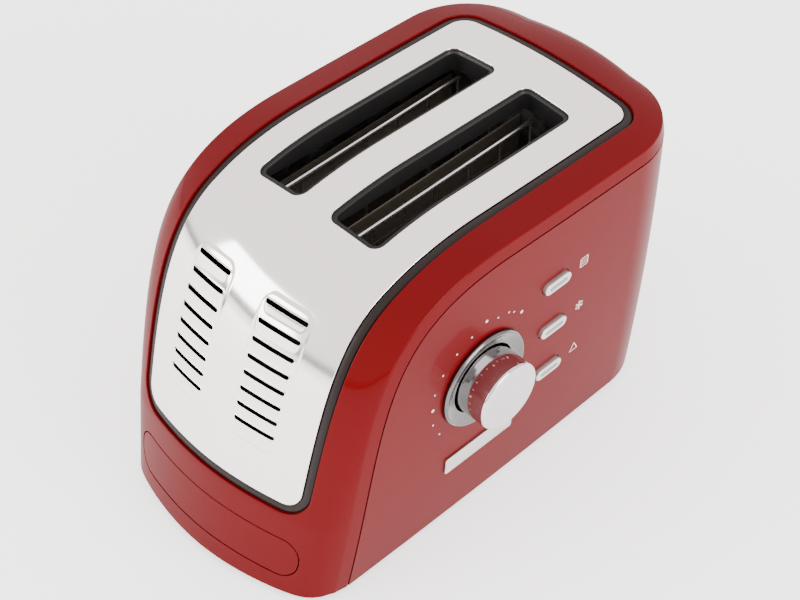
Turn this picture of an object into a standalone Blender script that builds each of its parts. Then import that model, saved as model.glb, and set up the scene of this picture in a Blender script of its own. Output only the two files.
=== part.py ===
"""Two slot toaster with an arched steel front and top panel in a red housing.

Metres, +Z up. The arched end faces -Y, the controls are on +X and the bread lever is on the rear
wall at +Y. The origin is on the floor, under the middle of the bounding box.
"""
import math

import bmesh
import bpy
import numpy as np
from mathutils import Matrix, Vector

# Fits between pieces
GAP = 0.0003
SLIDE_GAP = 0.0005
OVERRUN = 0.004
ROW_MARGIN = 0.002

# Housing
BODY_LENGTH = 0.2800
CREASE_HEIGHT = 0.1883
HALF_WIDTH = 0.0885
FRONT_FOOT_Y = 0.0014
FRONT_LEAN = math.radians(10.3)
ARCH_DEPTH = 0.1241
FRONT_PULL = 0.1212
TOP_PULL = 0.1081
TOP_FALL = math.radians(2.06)
CROWN_RISE = 0.0091
FRONT_BOW = 0.0168
SHOULDER_BOW = 0.0069
CORNER_ROUND = 0.0148
CORNER_ROUND_REACH = 0.193
CORNER_ROUND_START = 0.050
BASE_TUCK = 0.0085
SIDE_BOW = 0.0015
REAR_RADIUS = 0.050
REAR_BOW = 0.0025
REAR_DROP = 0.0090
COVER_THICKNESS = 0.0020
FOOT_OVERRUN = 0.0120
SHELL_THICKNESS = 0.0022
SEAM_DROP = 0.0085
SEAM_STEP = 0.0015
BOW_POWER = 1.93
ROUND_POWER = 17

# Steel panel and its dark trim
TRIM_START = 0.0534
TRIM_REAR_MARGIN = 0.0255
TRIM_SIDE_MARGIN = 0.0185
TRIM_RADIUS = 0.0160
TRIM_WIDTH = 0.0050
TRIM_RECESS = 0.0014
TRIM_UNDERCUT = 0.0026
TRIM_FLANGE = 0.0012
PANEL_RECESS = 0.0008
PANEL_THICKNESS = 0.0012

# Louvres in the panel
LOUVRE_ROWS = 8
LOUVRE_FIRST = 0.0966
LOUVRE_PITCH = 0.00915
LOUVRE_SHIFT = 0.0003
LOUVRE_LENGTH_share = 0.808
LOUVRE_SLIT = 0.0020
LOUVRE_RISE = 0.0016
LOUVRE_SKIRT = 0.0080
LOUVRE_FADE = 0.0022

# Bread slots and their collars
SLOT_CENTRE_share = 0.527
SLOT_WIDTH_share = 0.662
SLOT_START_Y = 0.0715
SLOT_REAR_MARGIN = 0.0590
SLOT_RADIUS = 0.0060
COLLAR_LEDGE = 0.0026
COLLAR_WALL = 0.0012
COLLAR_DEPTH = 0.0140

# Crumb tray and its curved front
TRAY_FRONT_LOW = 0.0125
TRAY_FRONT_HIGH = 0.0385
TRAY_FRONT_MARGIN = 0.0180
TRAY_FRONT_RADIUS = 0.0120
TRAY_FRONT_GAP = 0.0006
TRAY_SIDE_INSET = 0.0040
TRAY_BOTTOM = 0.0150
TRAY_DEPTH = 0.0070
TRAY_WALL = 0.0008
TRAY_END_CLEARANCE = 0.0040

# Base and feet
FOOT_HEIGHT = 0.0050
FOOT_RADIUS = 0.0085
FOOT_TAPER = 0.0015
FOOT_SIDE_INSET = 0.0245
FOOT_FRONT_INSET = 0.0300
FOOT_REAR_INSET = 0.0450
BASE_LIFT = 0.0015
BASE_THICKNESS = 0.0022
BASE_RAIL_INSET = 0.0080
BASE_RAIL_WIDTH = 0.0040
BASE_SIDE_START = 0.0120

# Controls
KNOB_Y = 0.1062
KNOB_Z = 0.1010
KNOB_RADIUS = 0.0211
KNOB_REACH = 0.0205
KNOB_SKIN = 0.0016
KNOB_EDGE = 0.0010
KNOB_DOME = 0.0008
KNOB_SINK = 0.0020
KNOB_HUB_RADIUS = 0.0060
RING_OUTER = 0.0310
RING_RIM_HEIGHT = 0.0032
RING_INNER = 0.0222
RING_SKIRT = 0.0012
RING_LAND = 0.0015
RING_DISH_HEIGHT = 0.0010
RING_SKIRT_DEPTH = 0.0060
SHAFT_RADIUS = 0.0030
SHAFT_TIP = 0.0080
POT_RADIUS = 0.0085
POT_HEIGHT = 0.0070
BUTTON_Y = 0.1620
BUTTON_TOP_Z = 0.1348
BUTTON_PITCH = 0.0342
BUTTON_LENGTH = 0.0208
BUTTON_HEIGHT = 0.0076
BUTTON_REACH = 0.0024
BUTTON_DEPTH = 0.0085
BUTTON_FLANGE = 0.0012
BUTTON_FLANGE_LIP = 0.0010
BUTTON_STROKE = 0.0020
BUTTON_EDGE = 0.0007
LENS_LENGTH = 0.0130
LENS_HEIGHT = 0.0018
LENS_DEPTH = 0.0010
LENS_STAND = 0.0002
BADGE_START_Y = 0.0810
BADGE_LENGTH = 0.0535
BADGE_HEIGHT = 0.0118
BADGE_Z = 0.0455
BADGE_THICKNESS = 0.0010
BADGE_RADIUS = 0.0012
BOARD_DEPTH = 0.0175
BOARD_THICKNESS = 0.0016
BOARD_LENGTH = 0.0980
BOARD_LEAD = 0.0220
BOARD_WIDTH = 0.0920
BOSS_RADIUS = 0.0035
BOSS_INSET = 0.0050
SWITCH_SIZE = 0.0060
SWITCH_CLEARANCE = 0.0015

# Chassis and heaters
BULKHEAD_THICKNESS = 0.0010
BULKHEAD_FRONT_Y = 0.0620
BULKHEAD_REAR_INSET = 0.0500
BULKHEAD_SIDE_LIP = 0.0055
HEATER_THICKNESS = 0.0010
HEATER_LOW = 0.0500
HEATER_TOP_DROP = 0.0263
WINDING_COUNT = 7
WINDING_WIDTH = 0.0024
WINDING_STAND = 0.0006
REFLECTOR_SPACE = 0.0065
CONTROL_SPACE = 0.0285
REFLECTOR_THICKNESS = 0.0006
CHAMBER_LOW = 0.0300

# Bread guides
GUIDE_OFFSET_share = 0.367
GUIDE_WIRE = 0.0008
GUIDE_ROD = 0.0012
GUIDE_LOW = 0.0480
GUIDE_TOP_DROP = 0.0183
GUIDE_WIRES = 7
GUIDE_MARGIN = 0.0080
GUIDE_OVERHANG = 0.0015

# Bread lifter and lever
LIFT_REST_DROP = 0.0763
LIFT_LOW_Z = 0.0560
LIFTER_HALF_share = 0.17
LIFTER_THICKNESS = 0.0010
LIFTER_LIP = 0.0050
NECK_THICKNESS = 0.0016
NECK_HEIGHT = 0.0080
CARRIAGE_GAP_Y = 0.0080
CARRIAGE_THICKNESS = 0.0016
CARRIAGE_HEIGHT = 0.0140
CARRIAGE_SPREAD = 0.0060
RUNNER_RADIUS = 0.0060
ROD_RADIUS = 0.0030
ROD_SETBACK = 0.0180
ROD_BRACKET_DROP = 0.0323
ROD_BRACKET_HALF = 0.0100
ARM_THICKNESS = 0.0030
ARM_HEIGHT = 0.0060
LEVER_WIDTH = 0.0340
LEVER_HEIGHT = 0.0130
LEVER_REACH = 0.0200
LEVER_CLEARANCE = 0.0020
LEVER_EDGE = 0.0030
LEVER_SOCKET = 0.0080
MAGNET_X = 0.0220
MAGNET_SIZE = 0.0140
MAGNET_HEIGHT = 0.0180
INLET_X_share = 0.727
INLET_Z = 0.0240
INLET_RADIUS = 0.0055
INLET_BORE = 0.0034
INLET_FLANGE = 0.0018

# Smoothness of the modelled surfaces, as counts and shares
ACROSS_SHARES = (0.0, 0.2, 0.4, 0.58, 0.74, 0.85, 0.92, 0.96, 1.0)
HEIGHT_SHARES = (0.0, 0.3, 0.65, 1.0)
SIDE_SHARES = (0.0, 0.25, 0.5, 0.75, 1.0)
CORNER_STEPS = 6
ROUND_STEPS = 3
PATCH_ROUND_STEPS = 4
RING_SEGMENTS = 32
PATCH_COLUMNS = 9
FRONT_ROWS = 6
ARCH_ROWS = 12
TOP_ROWS = 5
SMALL_SEGMENTS = 16
PROFILE_SAMPLES = 240
HALVINGS = 24

# Places that follow from the sizes above
REFLECTOR_X = HALF_WIDTH - CONTROL_SPACE
HEATER_OUTER_X = REFLECTOR_X - REFLECTOR_SPACE
BULKHEAD_HALF = REFLECTOR_X + BULKHEAD_SIDE_LIP
BULKHEAD_REAR_Y = BODY_LENGTH - BULKHEAD_REAR_INSET
TRIM_END_Y = BODY_LENGTH - TRIM_REAR_MARGIN
TRIM_HALF = HALF_WIDTH - TRIM_SIDE_MARGIN
TRAY_FRONT_HALF = HALF_WIDTH - TRAY_FRONT_MARGIN
TRAY_HALF = REFLECTOR_X - TRAY_SIDE_INSET
TRAY_END_Y = BULKHEAD_REAR_Y - TRAY_END_CLEARANCE
BASE_RAIL_HALF = TRAY_HALF - BASE_RAIL_INSET
SLOT_CENTRE = HEATER_OUTER_X * SLOT_CENTRE_share
SLOT_WIDTH = HEATER_OUTER_X * SLOT_WIDTH_share
SLOT_LENGTH = BODY_LENGTH - SLOT_REAR_MARGIN - SLOT_START_Y
LOUVRE_CENTRE = SLOT_CENTRE - LOUVRE_SHIFT
LOUVRE_LENGTH = SLOT_WIDTH * LOUVRE_LENGTH_share
GUIDE_OFFSET = SLOT_WIDTH * GUIDE_OFFSET_share
LIFTER_HALF = SLOT_WIDTH * LIFTER_HALF_share
HEATER_HIGH = CREASE_HEIGHT - HEATER_TOP_DROP
GUIDE_HIGH = CREASE_HEIGHT - GUIDE_TOP_DROP
LIFT_REST_Z = CREASE_HEIGHT - LIFT_REST_DROP
LIFT_TRAVEL = LIFT_REST_Z - LIFT_LOW_Z
ROD_BRACKET_Z = CREASE_HEIGHT - ROD_BRACKET_DROP
FOOT_INSET_X = HALF_WIDTH - FOOT_SIDE_INSET
FOOT_FRONT_Y = FRONT_FOOT_Y + FOOT_FRONT_INSET
FOOT_REAR_Y = BODY_LENGTH - FOOT_REAR_INSET
BOARD_BACK = BOARD_LENGTH - BOARD_LEAD
BOARD_HALF = BOARD_WIDTH / 2
SWITCH_HEIGHT = BOARD_DEPTH - BUTTON_DEPTH - BUTTON_STROKE - SWITCH_CLEARANCE

for stale in list(bpy.data.objects):
    bpy.data.objects.remove(stale, do_unlink=True)

parts = bpy.data.collections.new("toaster")
bpy.context.scene.collection.children.link(parts)
cutters = bpy.data.collections.new("toaster_cutters")
bpy.context.scene.collection.children.link(cutters)


# Surface of the housing

def profile_table():
    """Arc length, y, z and outward normal along the crease, from the floor edge to the rear."""
    start = Vector((FRONT_FOOT_Y, 0.0))
    first = start + FRONT_PULL * Vector((math.sin(FRONT_LEAN), math.cos(FRONT_LEAN)))
    end = Vector((ARCH_DEPTH, CREASE_HEIGHT))
    second = end - TOP_PULL * Vector((math.cos(TOP_FALL), -math.sin(TOP_FALL)))
    shares = np.linspace(0.0, 1.0, PROFILE_SAMPLES)[:, None]
    curve = ((1 - shares) ** 3 * np.array(start) + 3 * shares * (1 - shares) ** 2 * np.array(first)
             + 3 * shares ** 2 * (1 - shares) * np.array(second) + shares ** 3 * np.array(end))
    back = np.array([math.sin(FRONT_LEAN), math.cos(FRONT_LEAN)])
    below = np.array(start) - back * FOOT_OVERRUN
    run = np.array([math.cos(TOP_FALL), -math.sin(TOP_FALL)])
    beyond = np.array(end) + run * (BODY_LENGTH - ARCH_DEPTH + FOOT_OVERRUN)
    points = np.vstack([below, curve, beyond])
    steps = np.linalg.norm(np.diff(points, axis=0), axis=1)
    arc = np.concatenate([[0.0], np.cumsum(steps)]) - FOOT_OVERRUN
    tangent = np.gradient(points, arc, axis=0)
    tangent /= np.linalg.norm(tangent, axis=1)[:, None]
    tangent[0] = back
    tangent[-1] = run
    return arc, points, np.column_stack([-tangent[:, 1], tangent[:, 0]])


PROFILE_ARC, PROFILE_POINTS, PROFILE_NORMALS = profile_table()
CORNER_START_Y = BODY_LENGTH - REAR_RADIUS
CORNER_ARC = float(np.interp(CORNER_START_Y, PROFILE_POINTS[:, 0], PROFILE_ARC))
ARCH_END = float(np.interp(ARCH_DEPTH, PROFILE_POINTS[:, 0], PROFILE_ARC))
side_arcs = [float(arc) for arc in (*np.linspace(-FOOT_OVERRUN, LOUVRE_FIRST, FRONT_ROWS),
                                    *np.linspace(LOUVRE_FIRST, ARCH_END, ARCH_ROWS)[1:],
                                    *np.linspace(ARCH_END, CORNER_ARC, TOP_ROWS)[1:])]


def profile_at(arc):
    """y, z and the outward normal of the crease at an arc length."""
    y, z = (np.interp(arc, PROFILE_ARC, PROFILE_POINTS[:, axis]) for axis in (0, 1))
    normal = Vector([np.interp(arc, PROFILE_ARC, PROFILE_NORMALS[:, axis]) for axis in (0, 1)])
    return float(y), float(z), normal.normalized()


def arc_at_y(y):
    return float(np.interp(y, PROFILE_POINTS[:, 0], PROFILE_ARC))


def arc_at_height(z, across=0.0, lift=0.0):
    """Arc length on the front where the surface passes a height, found by halving."""
    low, high = -FOOT_OVERRUN, ARCH_DEPTH
    for _ in range(HALVINGS):
        middle = (low + high) / 2
        if wrap(middle, across, lift).z < z:
            low = middle
        else:
            high = middle
    return (low + high) / 2


def side_x(y, z, grow=0.0):
    """Half width of the housing, which tucks in to the base and bows along its length."""
    tuck = BASE_TUCK * max(0.0, 1 - z / CREASE_HEIGHT) ** 2
    middle = BODY_LENGTH / 2
    return HALF_WIDTH - tuck - SIDE_BOW * ((y - middle) / middle) ** 2 + grow


def rear_drop(y):
    share = min(max((y - CORNER_START_Y) / REAR_RADIUS, 0.0), 1.0)
    return REAR_DROP * (1 - math.sqrt(1 - share * share))


def wrap(arc, across, lift=0.0):
    """Point on the bowed front and top at an arc length and a place across the full half width."""
    if lift:
        step = GAP
        point = wrap(arc, across)
        along = wrap(arc + step, across) - wrap(arc - step, across)
        sideways = wrap(arc, across + step) - wrap(arc, across - step)
        return point + sideways.cross(along).normalized() * lift
    y, z, normal = profile_at(arc)
    share = min(abs(across) / HALF_WIDTH, 1.0)
    front = normal.x ** 2
    top = normal.y ** 2
    foot = max(0.0, 1 - max(arc, CORNER_ROUND_START) / CORNER_ROUND_REACH)
    bow = CROWN_RISE * top + FRONT_BOW * front + 4 * SHOULDER_BOW * front * top
    offset = bow * (1 - share ** BOW_POWER) + CORNER_ROUND * foot * (1 - share ** ROUND_POWER)
    x = across * side_x(y, z) / HALF_WIDTH
    return Vector((x, y + normal.x * offset, z + normal.y * offset - rear_drop(y)))


def seam_on_side(arc, drop):
    """Point on the right hand seam, a drop inside the crease and a step outside it."""
    y, z, normal = profile_at(arc)
    y -= normal.x * drop
    z -= normal.y * drop
    return Vector((side_x(y, z, SEAM_STEP), y, z))


def corner_point(theta, z, grow):
    """Point of the rear right corner in plan, at an angle from the side."""
    tuck = BASE_TUCK * max(0.0, 1 - z / CREASE_HEIGHT) ** 2
    radius = REAR_RADIUS + grow - tuck
    centre = rear_half()
    return Vector((centre + radius * math.cos(theta), CORNER_START_Y + radius * math.sin(theta), z))


def rear_half():
    """Half width of the rear wall between its rounded corners."""
    return side_x(CORNER_START_Y, CREASE_HEIGHT) - REAR_RADIUS


def rear_bow(x):
    return REAR_BOW * (1 - min(abs(x) / rear_half(), 1.0) ** 2)


def crease_z(x, y):
    """Height of the top surface over a plan point of the rear crease."""
    across = x * HALF_WIDTH / side_x(y, CREASE_HEIGHT)
    return wrap(arc_at_y(y), across).z


def side_frame(y, z):
    """Frame on the right hand side: Z points out, X runs back and Y runs up."""
    step = GAP
    place = Vector((side_x(y, z, SEAM_STEP), y, z))
    back = Vector((side_x(y + step, z) - side_x(y - step, z), 2 * step, 0)).normalized()
    up = Vector((side_x(y, z + step) - side_x(y, z - step), 0, 2 * step)).normalized()
    out = back.cross(up).normalized()
    up = out.cross(back)
    rotation = Matrix((back, up, out)).transposed().to_4x4()
    return Matrix.Translation(place) @ rotation


def rear_frame(x, z):
    """Frame on the rear wall: Z points out, X runs to the left and Y runs up."""
    step = GAP

    def wall(wall_x, wall_z):
        point = corner_point(math.pi / 2, wall_z, SEAM_STEP)
        return Vector((wall_x, point.y + rear_bow(wall_x), wall_z))

    left = (wall(x - step, z) - wall(x + step, z)).normalized()
    out = left.cross(wall(x, z + step) - wall(x, z - step)).normalized()
    return Matrix.Translation(wall(x, z)) @ Matrix((left, out.cross(left), out)).transposed().to_4x4()


# Reference frame: everything is modelled over the housing's own floor edge and moved by the root

LEVER_FACE_Y = BODY_LENGTH + REAR_BOW + SEAM_STEP + LEVER_CLEARANCE + LEVER_REACH
KNOB_AXIS = side_frame(KNOB_Y, KNOB_Z)
KNOB_FACE_X = max((KNOB_AXIS @ Vector((0, place, height))).x
                  for place, height in ((0, KNOB_REACH + KNOB_DOME), (KNOB_EDGE - KNOB_RADIUS, KNOB_REACH),
                                        (KNOB_RADIUS - KNOB_EDGE, KNOB_REACH)))
SIDE_REACH = side_x(BODY_LENGTH / 2, CREASE_HEIGHT - SEAM_DROP, SEAM_STEP)
FRONT_REACH = -wrap(arc_at_height(0.0), 0.0).y

root = bpy.data.objects.new("toaster_root", None)
parts.objects.link(root)
root.location = (-(KNOB_FACE_X - SIDE_REACH) / 2, -(LEVER_FACE_Y - FRONT_REACH) / 2, FOOT_HEIGHT)


# Modelling helpers

def material(name, colour, roughness, metallic=0.0, coat=0.0):
    made = bpy.data.materials.new(name)
    made.use_nodes = True
    shader = made.node_tree.nodes["Principled BSDF"]
    shader.inputs["Base Color"].default_value = (*colour, 1.0)
    shader.inputs["Roughness"].default_value = roughness
    shader.inputs["Metallic"].default_value = metallic
    shader.inputs["Coat Weight"].default_value = coat
    made.diffuse_color = (*colour, 1.0)
    return made


def place(name, mesh, frame=None, look=None, parent=None, group=parts):
    made = bpy.data.objects.new(name, mesh)
    group.objects.link(made)
    made.parent = parent or root
    made.matrix_local = frame or Matrix()
    if look:
        mesh.materials.append(look)
    if group is cutters:
        made.hide_render = True
        made.display_type = "WIRE"
    return made


def surface(name, points, faces):
    mesh = bpy.data.meshes.new(name)
    mesh.from_pydata([tuple(point) for point in points], [], faces)
    mesh.update()
    return mesh


def quads(rows, columns):
    return [(r * columns + c, r * columns + c + 1, (r + 1) * columns + c + 1, (r + 1) * columns + c)
            for r in range(rows - 1) for c in range(columns - 1)]


def solidify(made, thickness, offset=-1.0):
    shell = made.modifiers.new("Thickness", "SOLIDIFY")
    shell.thickness = thickness
    shell.offset = offset
    shell.use_even_offset = False
    return made


def combine(made, other, operation="DIFFERENCE"):
    step = made.modifiers.new(other.name, "BOOLEAN")
    step.operation = operation
    step.solver = "EXACT"
    step.object = other
    return made


def round_edges(made, width, segments=2, angle=math.radians(40)):
    edge = made.modifiers.new("Edges", "BEVEL")
    edge.width = width
    edge.segments = segments
    edge.limit_method = "ANGLE"
    edge.angle_limit = angle
    return made


def smooth(made, angle=math.radians(35)):
    made.data.shade_smooth()
    made.data.set_sharp_from_angle(angle=angle)
    return made


def box_mesh(name, low, high):
    """Box from its low and high corners."""
    low, high = Vector(low), Vector(high)
    shape = bmesh.new()
    size = high - low
    bmesh.ops.create_cube(shape, size=1.0, matrix=Matrix.Translation((low + high) / 2)
                          @ Matrix.Diagonal((*size, 1.0)))
    mesh = bpy.data.meshes.new(name)
    shape.to_mesh(mesh)
    shape.free()
    return mesh


def rod_mesh(name, radius, low, high, segments=SMALL_SEGMENTS, axis="Z", top_radius=None):
    """Cylinder or taper along an axis between two heights."""
    shape = bmesh.new()
    turn = {"Z": Matrix(), "X": Matrix.Rotation(math.pi / 2, 4, "Y"),
            "Y": Matrix.Rotation(-math.pi / 2, 4, "X")}[axis]
    bmesh.ops.create_cone(shape, cap_ends=True, segments=segments, radius1=radius,
                          radius2=radius if top_radius is None else top_radius, depth=high - low,
                          matrix=turn @ Matrix.Translation((0, 0, (low + high) / 2)))
    mesh = bpy.data.meshes.new(name)
    shape.to_mesh(mesh)
    shape.free()
    return mesh


def rounded_outline(half_x, half_y, radius, steps=ROUND_STEPS):
    """Corner rounded rectangle about the origin, counter clockwise."""
    radius = min(radius, half_x, half_y)
    points = []
    for turn, (sx, sy) in enumerate(((1, 1), (-1, 1), (-1, -1), (1, -1))):
        centre = Vector((sx * (half_x - radius), sy * (half_y - radius)))
        for step in range(steps + 1):
            angle = (turn + step / steps) * math.pi / 2
            point = centre + radius * Vector((math.cos(angle), math.sin(angle)))
            if not points or (point - points[-1]).length > GAP / 10:
                points.append(point)
    return points


def prism_mesh(name, outline, low, high):
    """Flat outline extruded along Z."""
    shape = bmesh.new()
    face = shape.faces.new([shape.verts.new((point[0], point[1], low)) for point in outline])
    face.normal_flip()
    grown = bmesh.ops.extrude_face_region(shape, geom=[face])
    lifted = [item for item in grown["geom"] if isinstance(item, bmesh.types.BMVert)]
    bmesh.ops.translate(shape, verts=lifted, vec=(0, 0, high - low))
    bmesh.ops.recalc_face_normals(shape, faces=shape.faces)
    mesh = bpy.data.meshes.new(name)
    shape.to_mesh(mesh)
    shape.free()
    return mesh


def turned(name, outline, look=None, frame=None, segments=RING_SEGMENTS, parent=None, group=parts):
    """Solid turned about its local Z from a closed outline of radius and height."""
    points = [Vector((radius, 0, height)) for radius, height in outline]
    count = len(points)
    mesh = bpy.data.meshes.new(name)
    closed = all(point.x > 0 for point in points)
    edges = [(index, index + 1) for index in range(count - 1)] + ([(count - 1, 0)] if closed else [])
    mesh.from_pydata([tuple(point) for point in points], edges, [])
    made = place(name, mesh, frame, look, parent, group)
    screw = made.modifiers.new("Turn", "SCREW")
    screw.steps = segments
    screw.render_steps = segments
    screw.use_merge_vertices = True
    screw.merge_threshold = GAP / 10
    screw.use_smooth_shade = True
    return made


def wrap_rows(low, high, left, right, radius):
    """Rows of arc length and ends across, of a patch with rounded corners, in step with the cover's."""
    steps = PATCH_ROUND_STEPS if radius else 0
    turns = [step / max(steps, 1) * math.pi / 2 for step in range(steps + 1)]
    insets = [(radius * (1 - math.cos(turn)), radius * (1 - math.sin(turn))) for turn in turns]
    rows = [(low + along, left + inset, right - inset) for along, inset in insets]
    rows += [(arc, left, right) for arc in side_arcs
             if low + radius + ROW_MARGIN < arc < high - radius - ROW_MARGIN]
    rows += [(high - along, left + inset, right - inset) for along, inset in reversed(insets)]
    return rows


def wrap_patch(name, low, high, left, right, radius, lift, thickness, look=None, group=parts,
               columns=PATCH_COLUMNS, offset=-1.0):
    """Sheet that follows the housing's surface, its outer face at a lift over the surface."""
    rows = wrap_rows(low, high, left, right, radius)
    points = [wrap(arc, start + (end - start) * column / (columns - 1), lift)
              for arc, start, end in rows for column in range(columns)]
    mesh = surface(name, points, quads(len(rows), columns))
    made = place(name, mesh, None, look, None, group)
    return solidify(made, thickness, offset)


def loft_mesh(name, rings):
    """Solid through rings of points that run counter clockwise from above, lowest ring first."""
    count = len(rings[0])
    faces = [tuple(reversed(range(count)))]
    for level in range(len(rings) - 1):
        base = level * count
        faces += [(base + i, base + (i + 1) % count, base + count + (i + 1) % count, base + count + i)
                  for i in range(count)]
    faces.append(tuple(range(count * (len(rings) - 1), count * len(rings))))
    return surface(name, [point for ring in rings for point in ring], faces)


def ring_at(outline, height):
    return [Vector((point[0], point[1], height)) for point in outline]


# Materials

red = material("red_enamel", (0.36, 0.045, 0.05), 0.22, 0.35, 0.9)
steel = material("brushed_steel", (0.80, 0.79, 0.77), 0.26, 1.0)
chrome = material("polished_chrome", (0.82, 0.82, 0.83), 0.08, 1.0)
dark_chrome = material("dark_chrome", (0.38, 0.38, 0.40), 0.18, 1.0)
trim_black = material("trim_plastic", (0.035, 0.022, 0.02), 0.42)
black = material("black_plastic", (0.02, 0.02, 0.02), 0.45)
silver = material("satin_silver", (0.72, 0.71, 0.69), 0.32, 0.9)
lens_grey = material("lens_plastic", (0.20, 0.20, 0.21), 0.3)
sheet = material("galvanised_sheet", (0.55, 0.56, 0.57), 0.4, 1.0)
mica = material("mica_card", (0.52, 0.45, 0.33), 0.7)
wire = material("steel_wire", (0.6, 0.6, 0.6), 0.3, 1.0)
rubber = material("rubber", (0.03, 0.03, 0.03), 0.8)
board_green = material("circuit_board", (0.05, 0.16, 0.08), 0.55)
copper = material("magnet_winding", (0.55, 0.25, 0.12), 0.4, 0.8)

# Cutters that several pieces share

floor_cut = place("floor_cut", box_mesh("floor_cut", (-HALF_WIDTH - OVERRUN, -HALF_WIDTH, -HALF_WIDTH),
                                        (HALF_WIDTH + OVERRUN, BODY_LENGTH, 0)), group=cutters)
trim_end = arc_at_y(TRIM_END_Y)
opening_cut = wrap_patch("opening_cut", TRIM_START - GAP, trim_end + GAP, -TRIM_HALF - GAP,
                         TRIM_HALF + GAP, TRIM_RADIUS + GAP, OVERRUN, 2 * OVERRUN + COVER_THICKNESS,
                         group=cutters)

# Cover: the red arch over the front and top, folded down to the seam all round

across = [-share * HALF_WIDTH for share in reversed(ACROSS_SHARES[1:])]
across += [share * HALF_WIDTH for share in ACROSS_SHARES]
cover_points = []
for arc in side_arcs:
    seam = seam_on_side(arc, SEAM_DROP)
    cover_points.append(Vector((-seam.x, seam.y, seam.z)))
    cover_points += [wrap(arc, place_across) for place_across in across]
    cover_points.append(seam)
for step in range(1, CORNER_STEPS + 1):
    theta = step / CORNER_STEPS * math.pi / 2
    crease = corner_point(theta, CREASE_HEIGHT, 0.0)
    seam = corner_point(theta, CREASE_HEIGHT, SEAM_STEP)
    height = crease_z(crease.x, crease.y)
    row = []
    for share in across:
        x = crease.x * share / HALF_WIDTH
        y = crease.y + math.sin(theta) * rear_bow(x)
        row.append(Vector((x, y, crease_z(x, crease.y))))
    seam.z = height - SEAM_DROP
    cover_points.append(Vector((-seam.x, seam.y, seam.z)))
    cover_points += row
    cover_points.append(seam)
columns = len(across) + 2
cover_faces = quads(len(side_arcs) + CORNER_STEPS, columns)
last_row = len(cover_points) - columns
lower = []
for index, top in enumerate(cover_points[last_row + 1:-1]):
    if index in (0, len(across) - 1):
        lower.append(last_row + (0 if index == 0 else columns - 1))
        continue
    lower.append(len(cover_points))
    cover_points.append(Vector((top.x, top.y + SEAM_STEP, top.z - SEAM_DROP)))
rear_seam = [cover_points[index] for index in lower]
for index in range(len(across) - 1):
    cover_faces.append((last_row + 1 + index, last_row + 2 + index, lower[index + 1], lower[index]))

cover = place("cover", surface("cover", cover_points, cover_faces), look=red)
solidify(cover, COVER_THICKNESS)
combine(cover, floor_cut)
combine(cover, opening_cut)
smooth(cover)

# Shell: both sides and the rear wall in one moulding under the seam

seam_gap = GAP + COVER_THICKNESS * SEAM_STEP / math.hypot(SEAM_STEP, SEAM_DROP)
path = []
for arc in side_arcs:
    top = seam_on_side(arc, SEAM_DROP + seam_gap)
    if top.z > SEAM_DROP / 4:
        path.append([Vector((side_x(top.y, top.z * share, SEAM_STEP), top.y, top.z * share))
                     for share in HEIGHT_SHARES])
for step in range(1, CORNER_STEPS + 1):
    theta = step / CORNER_STEPS * math.pi / 2
    crease = corner_point(theta, CREASE_HEIGHT, 0.0)
    height = crease_z(crease.x, crease.y) - SEAM_DROP - seam_gap
    path.append([corner_point(theta, height * share, SEAM_STEP) for share in HEIGHT_SHARES])
for top in reversed(rear_seam[len(across) // 2:-1]):
    column = []
    for share in HEIGHT_SHARES:
        point = corner_point(math.pi / 2, (top.z - seam_gap) * share, SEAM_STEP)
        column.append(Vector((top.x, point.y + rear_bow(top.x), point.z)))
    path.append(column)
shell_points = [point for column in path for point in column]
shell_faces = [tuple(reversed(face)) for face in quads(len(path), len(HEIGHT_SHARES))]
shell = place("shell", surface("shell", shell_points, shell_faces), look=red)
mirror = shell.modifiers.new("Mirror", "MIRROR")
mirror.use_clip = True
mirror.merge_threshold = GAP / 10
solidify(shell, SHELL_THICKNESS)

for number, (back, up) in enumerate(((BOSS_INSET - BOARD_LEAD, BOSS_INSET - BOARD_HALF),
                                     (BOARD_BACK - BOSS_INSET, BOSS_INSET - BOARD_HALF),
                                     (BOARD_BACK - BOSS_INSET, BOARD_HALF - BOSS_INSET),
                                     (BOSS_INSET - BOARD_LEAD, BOARD_HALF - BOSS_INSET)), 1):
    boss = place(f"boss_{number}", rod_mesh(f"boss_{number}", BOSS_RADIUS, GAP - BOARD_DEPTH,
                                            -SHELL_THICKNESS, segments=SMALL_SEGMENTS // 2),
                 KNOB_AXIS @ Matrix.Translation((back, up, 0)), group=cutters)
    combine(shell, boss, "UNION")

knob_hole = place("knob_hole", rod_mesh("knob_hole", RING_INNER + RING_SKIRT + SLIDE_GAP,
                                        -SHELL_THICKNESS - OVERRUN, OVERRUN, RING_SEGMENTS),
                  KNOB_AXIS, group=cutters)
combine(shell, knob_hole)

button_frames = [side_frame(BUTTON_Y, BUTTON_TOP_Z - BUTTON_PITCH * index) for index in range(3)]
for number, frame in enumerate(button_frames, 1):
    outline = rounded_outline(BUTTON_LENGTH / 2 + SLIDE_GAP, BUTTON_HEIGHT / 2 + SLIDE_GAP, BUTTON_HEIGHT)
    hole = place(f"button_hole_{number}",
                 prism_mesh("button_hole", outline, -SHELL_THICKNESS - OVERRUN, OVERRUN), frame,
                 group=cutters)
    combine(shell, hole)

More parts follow.
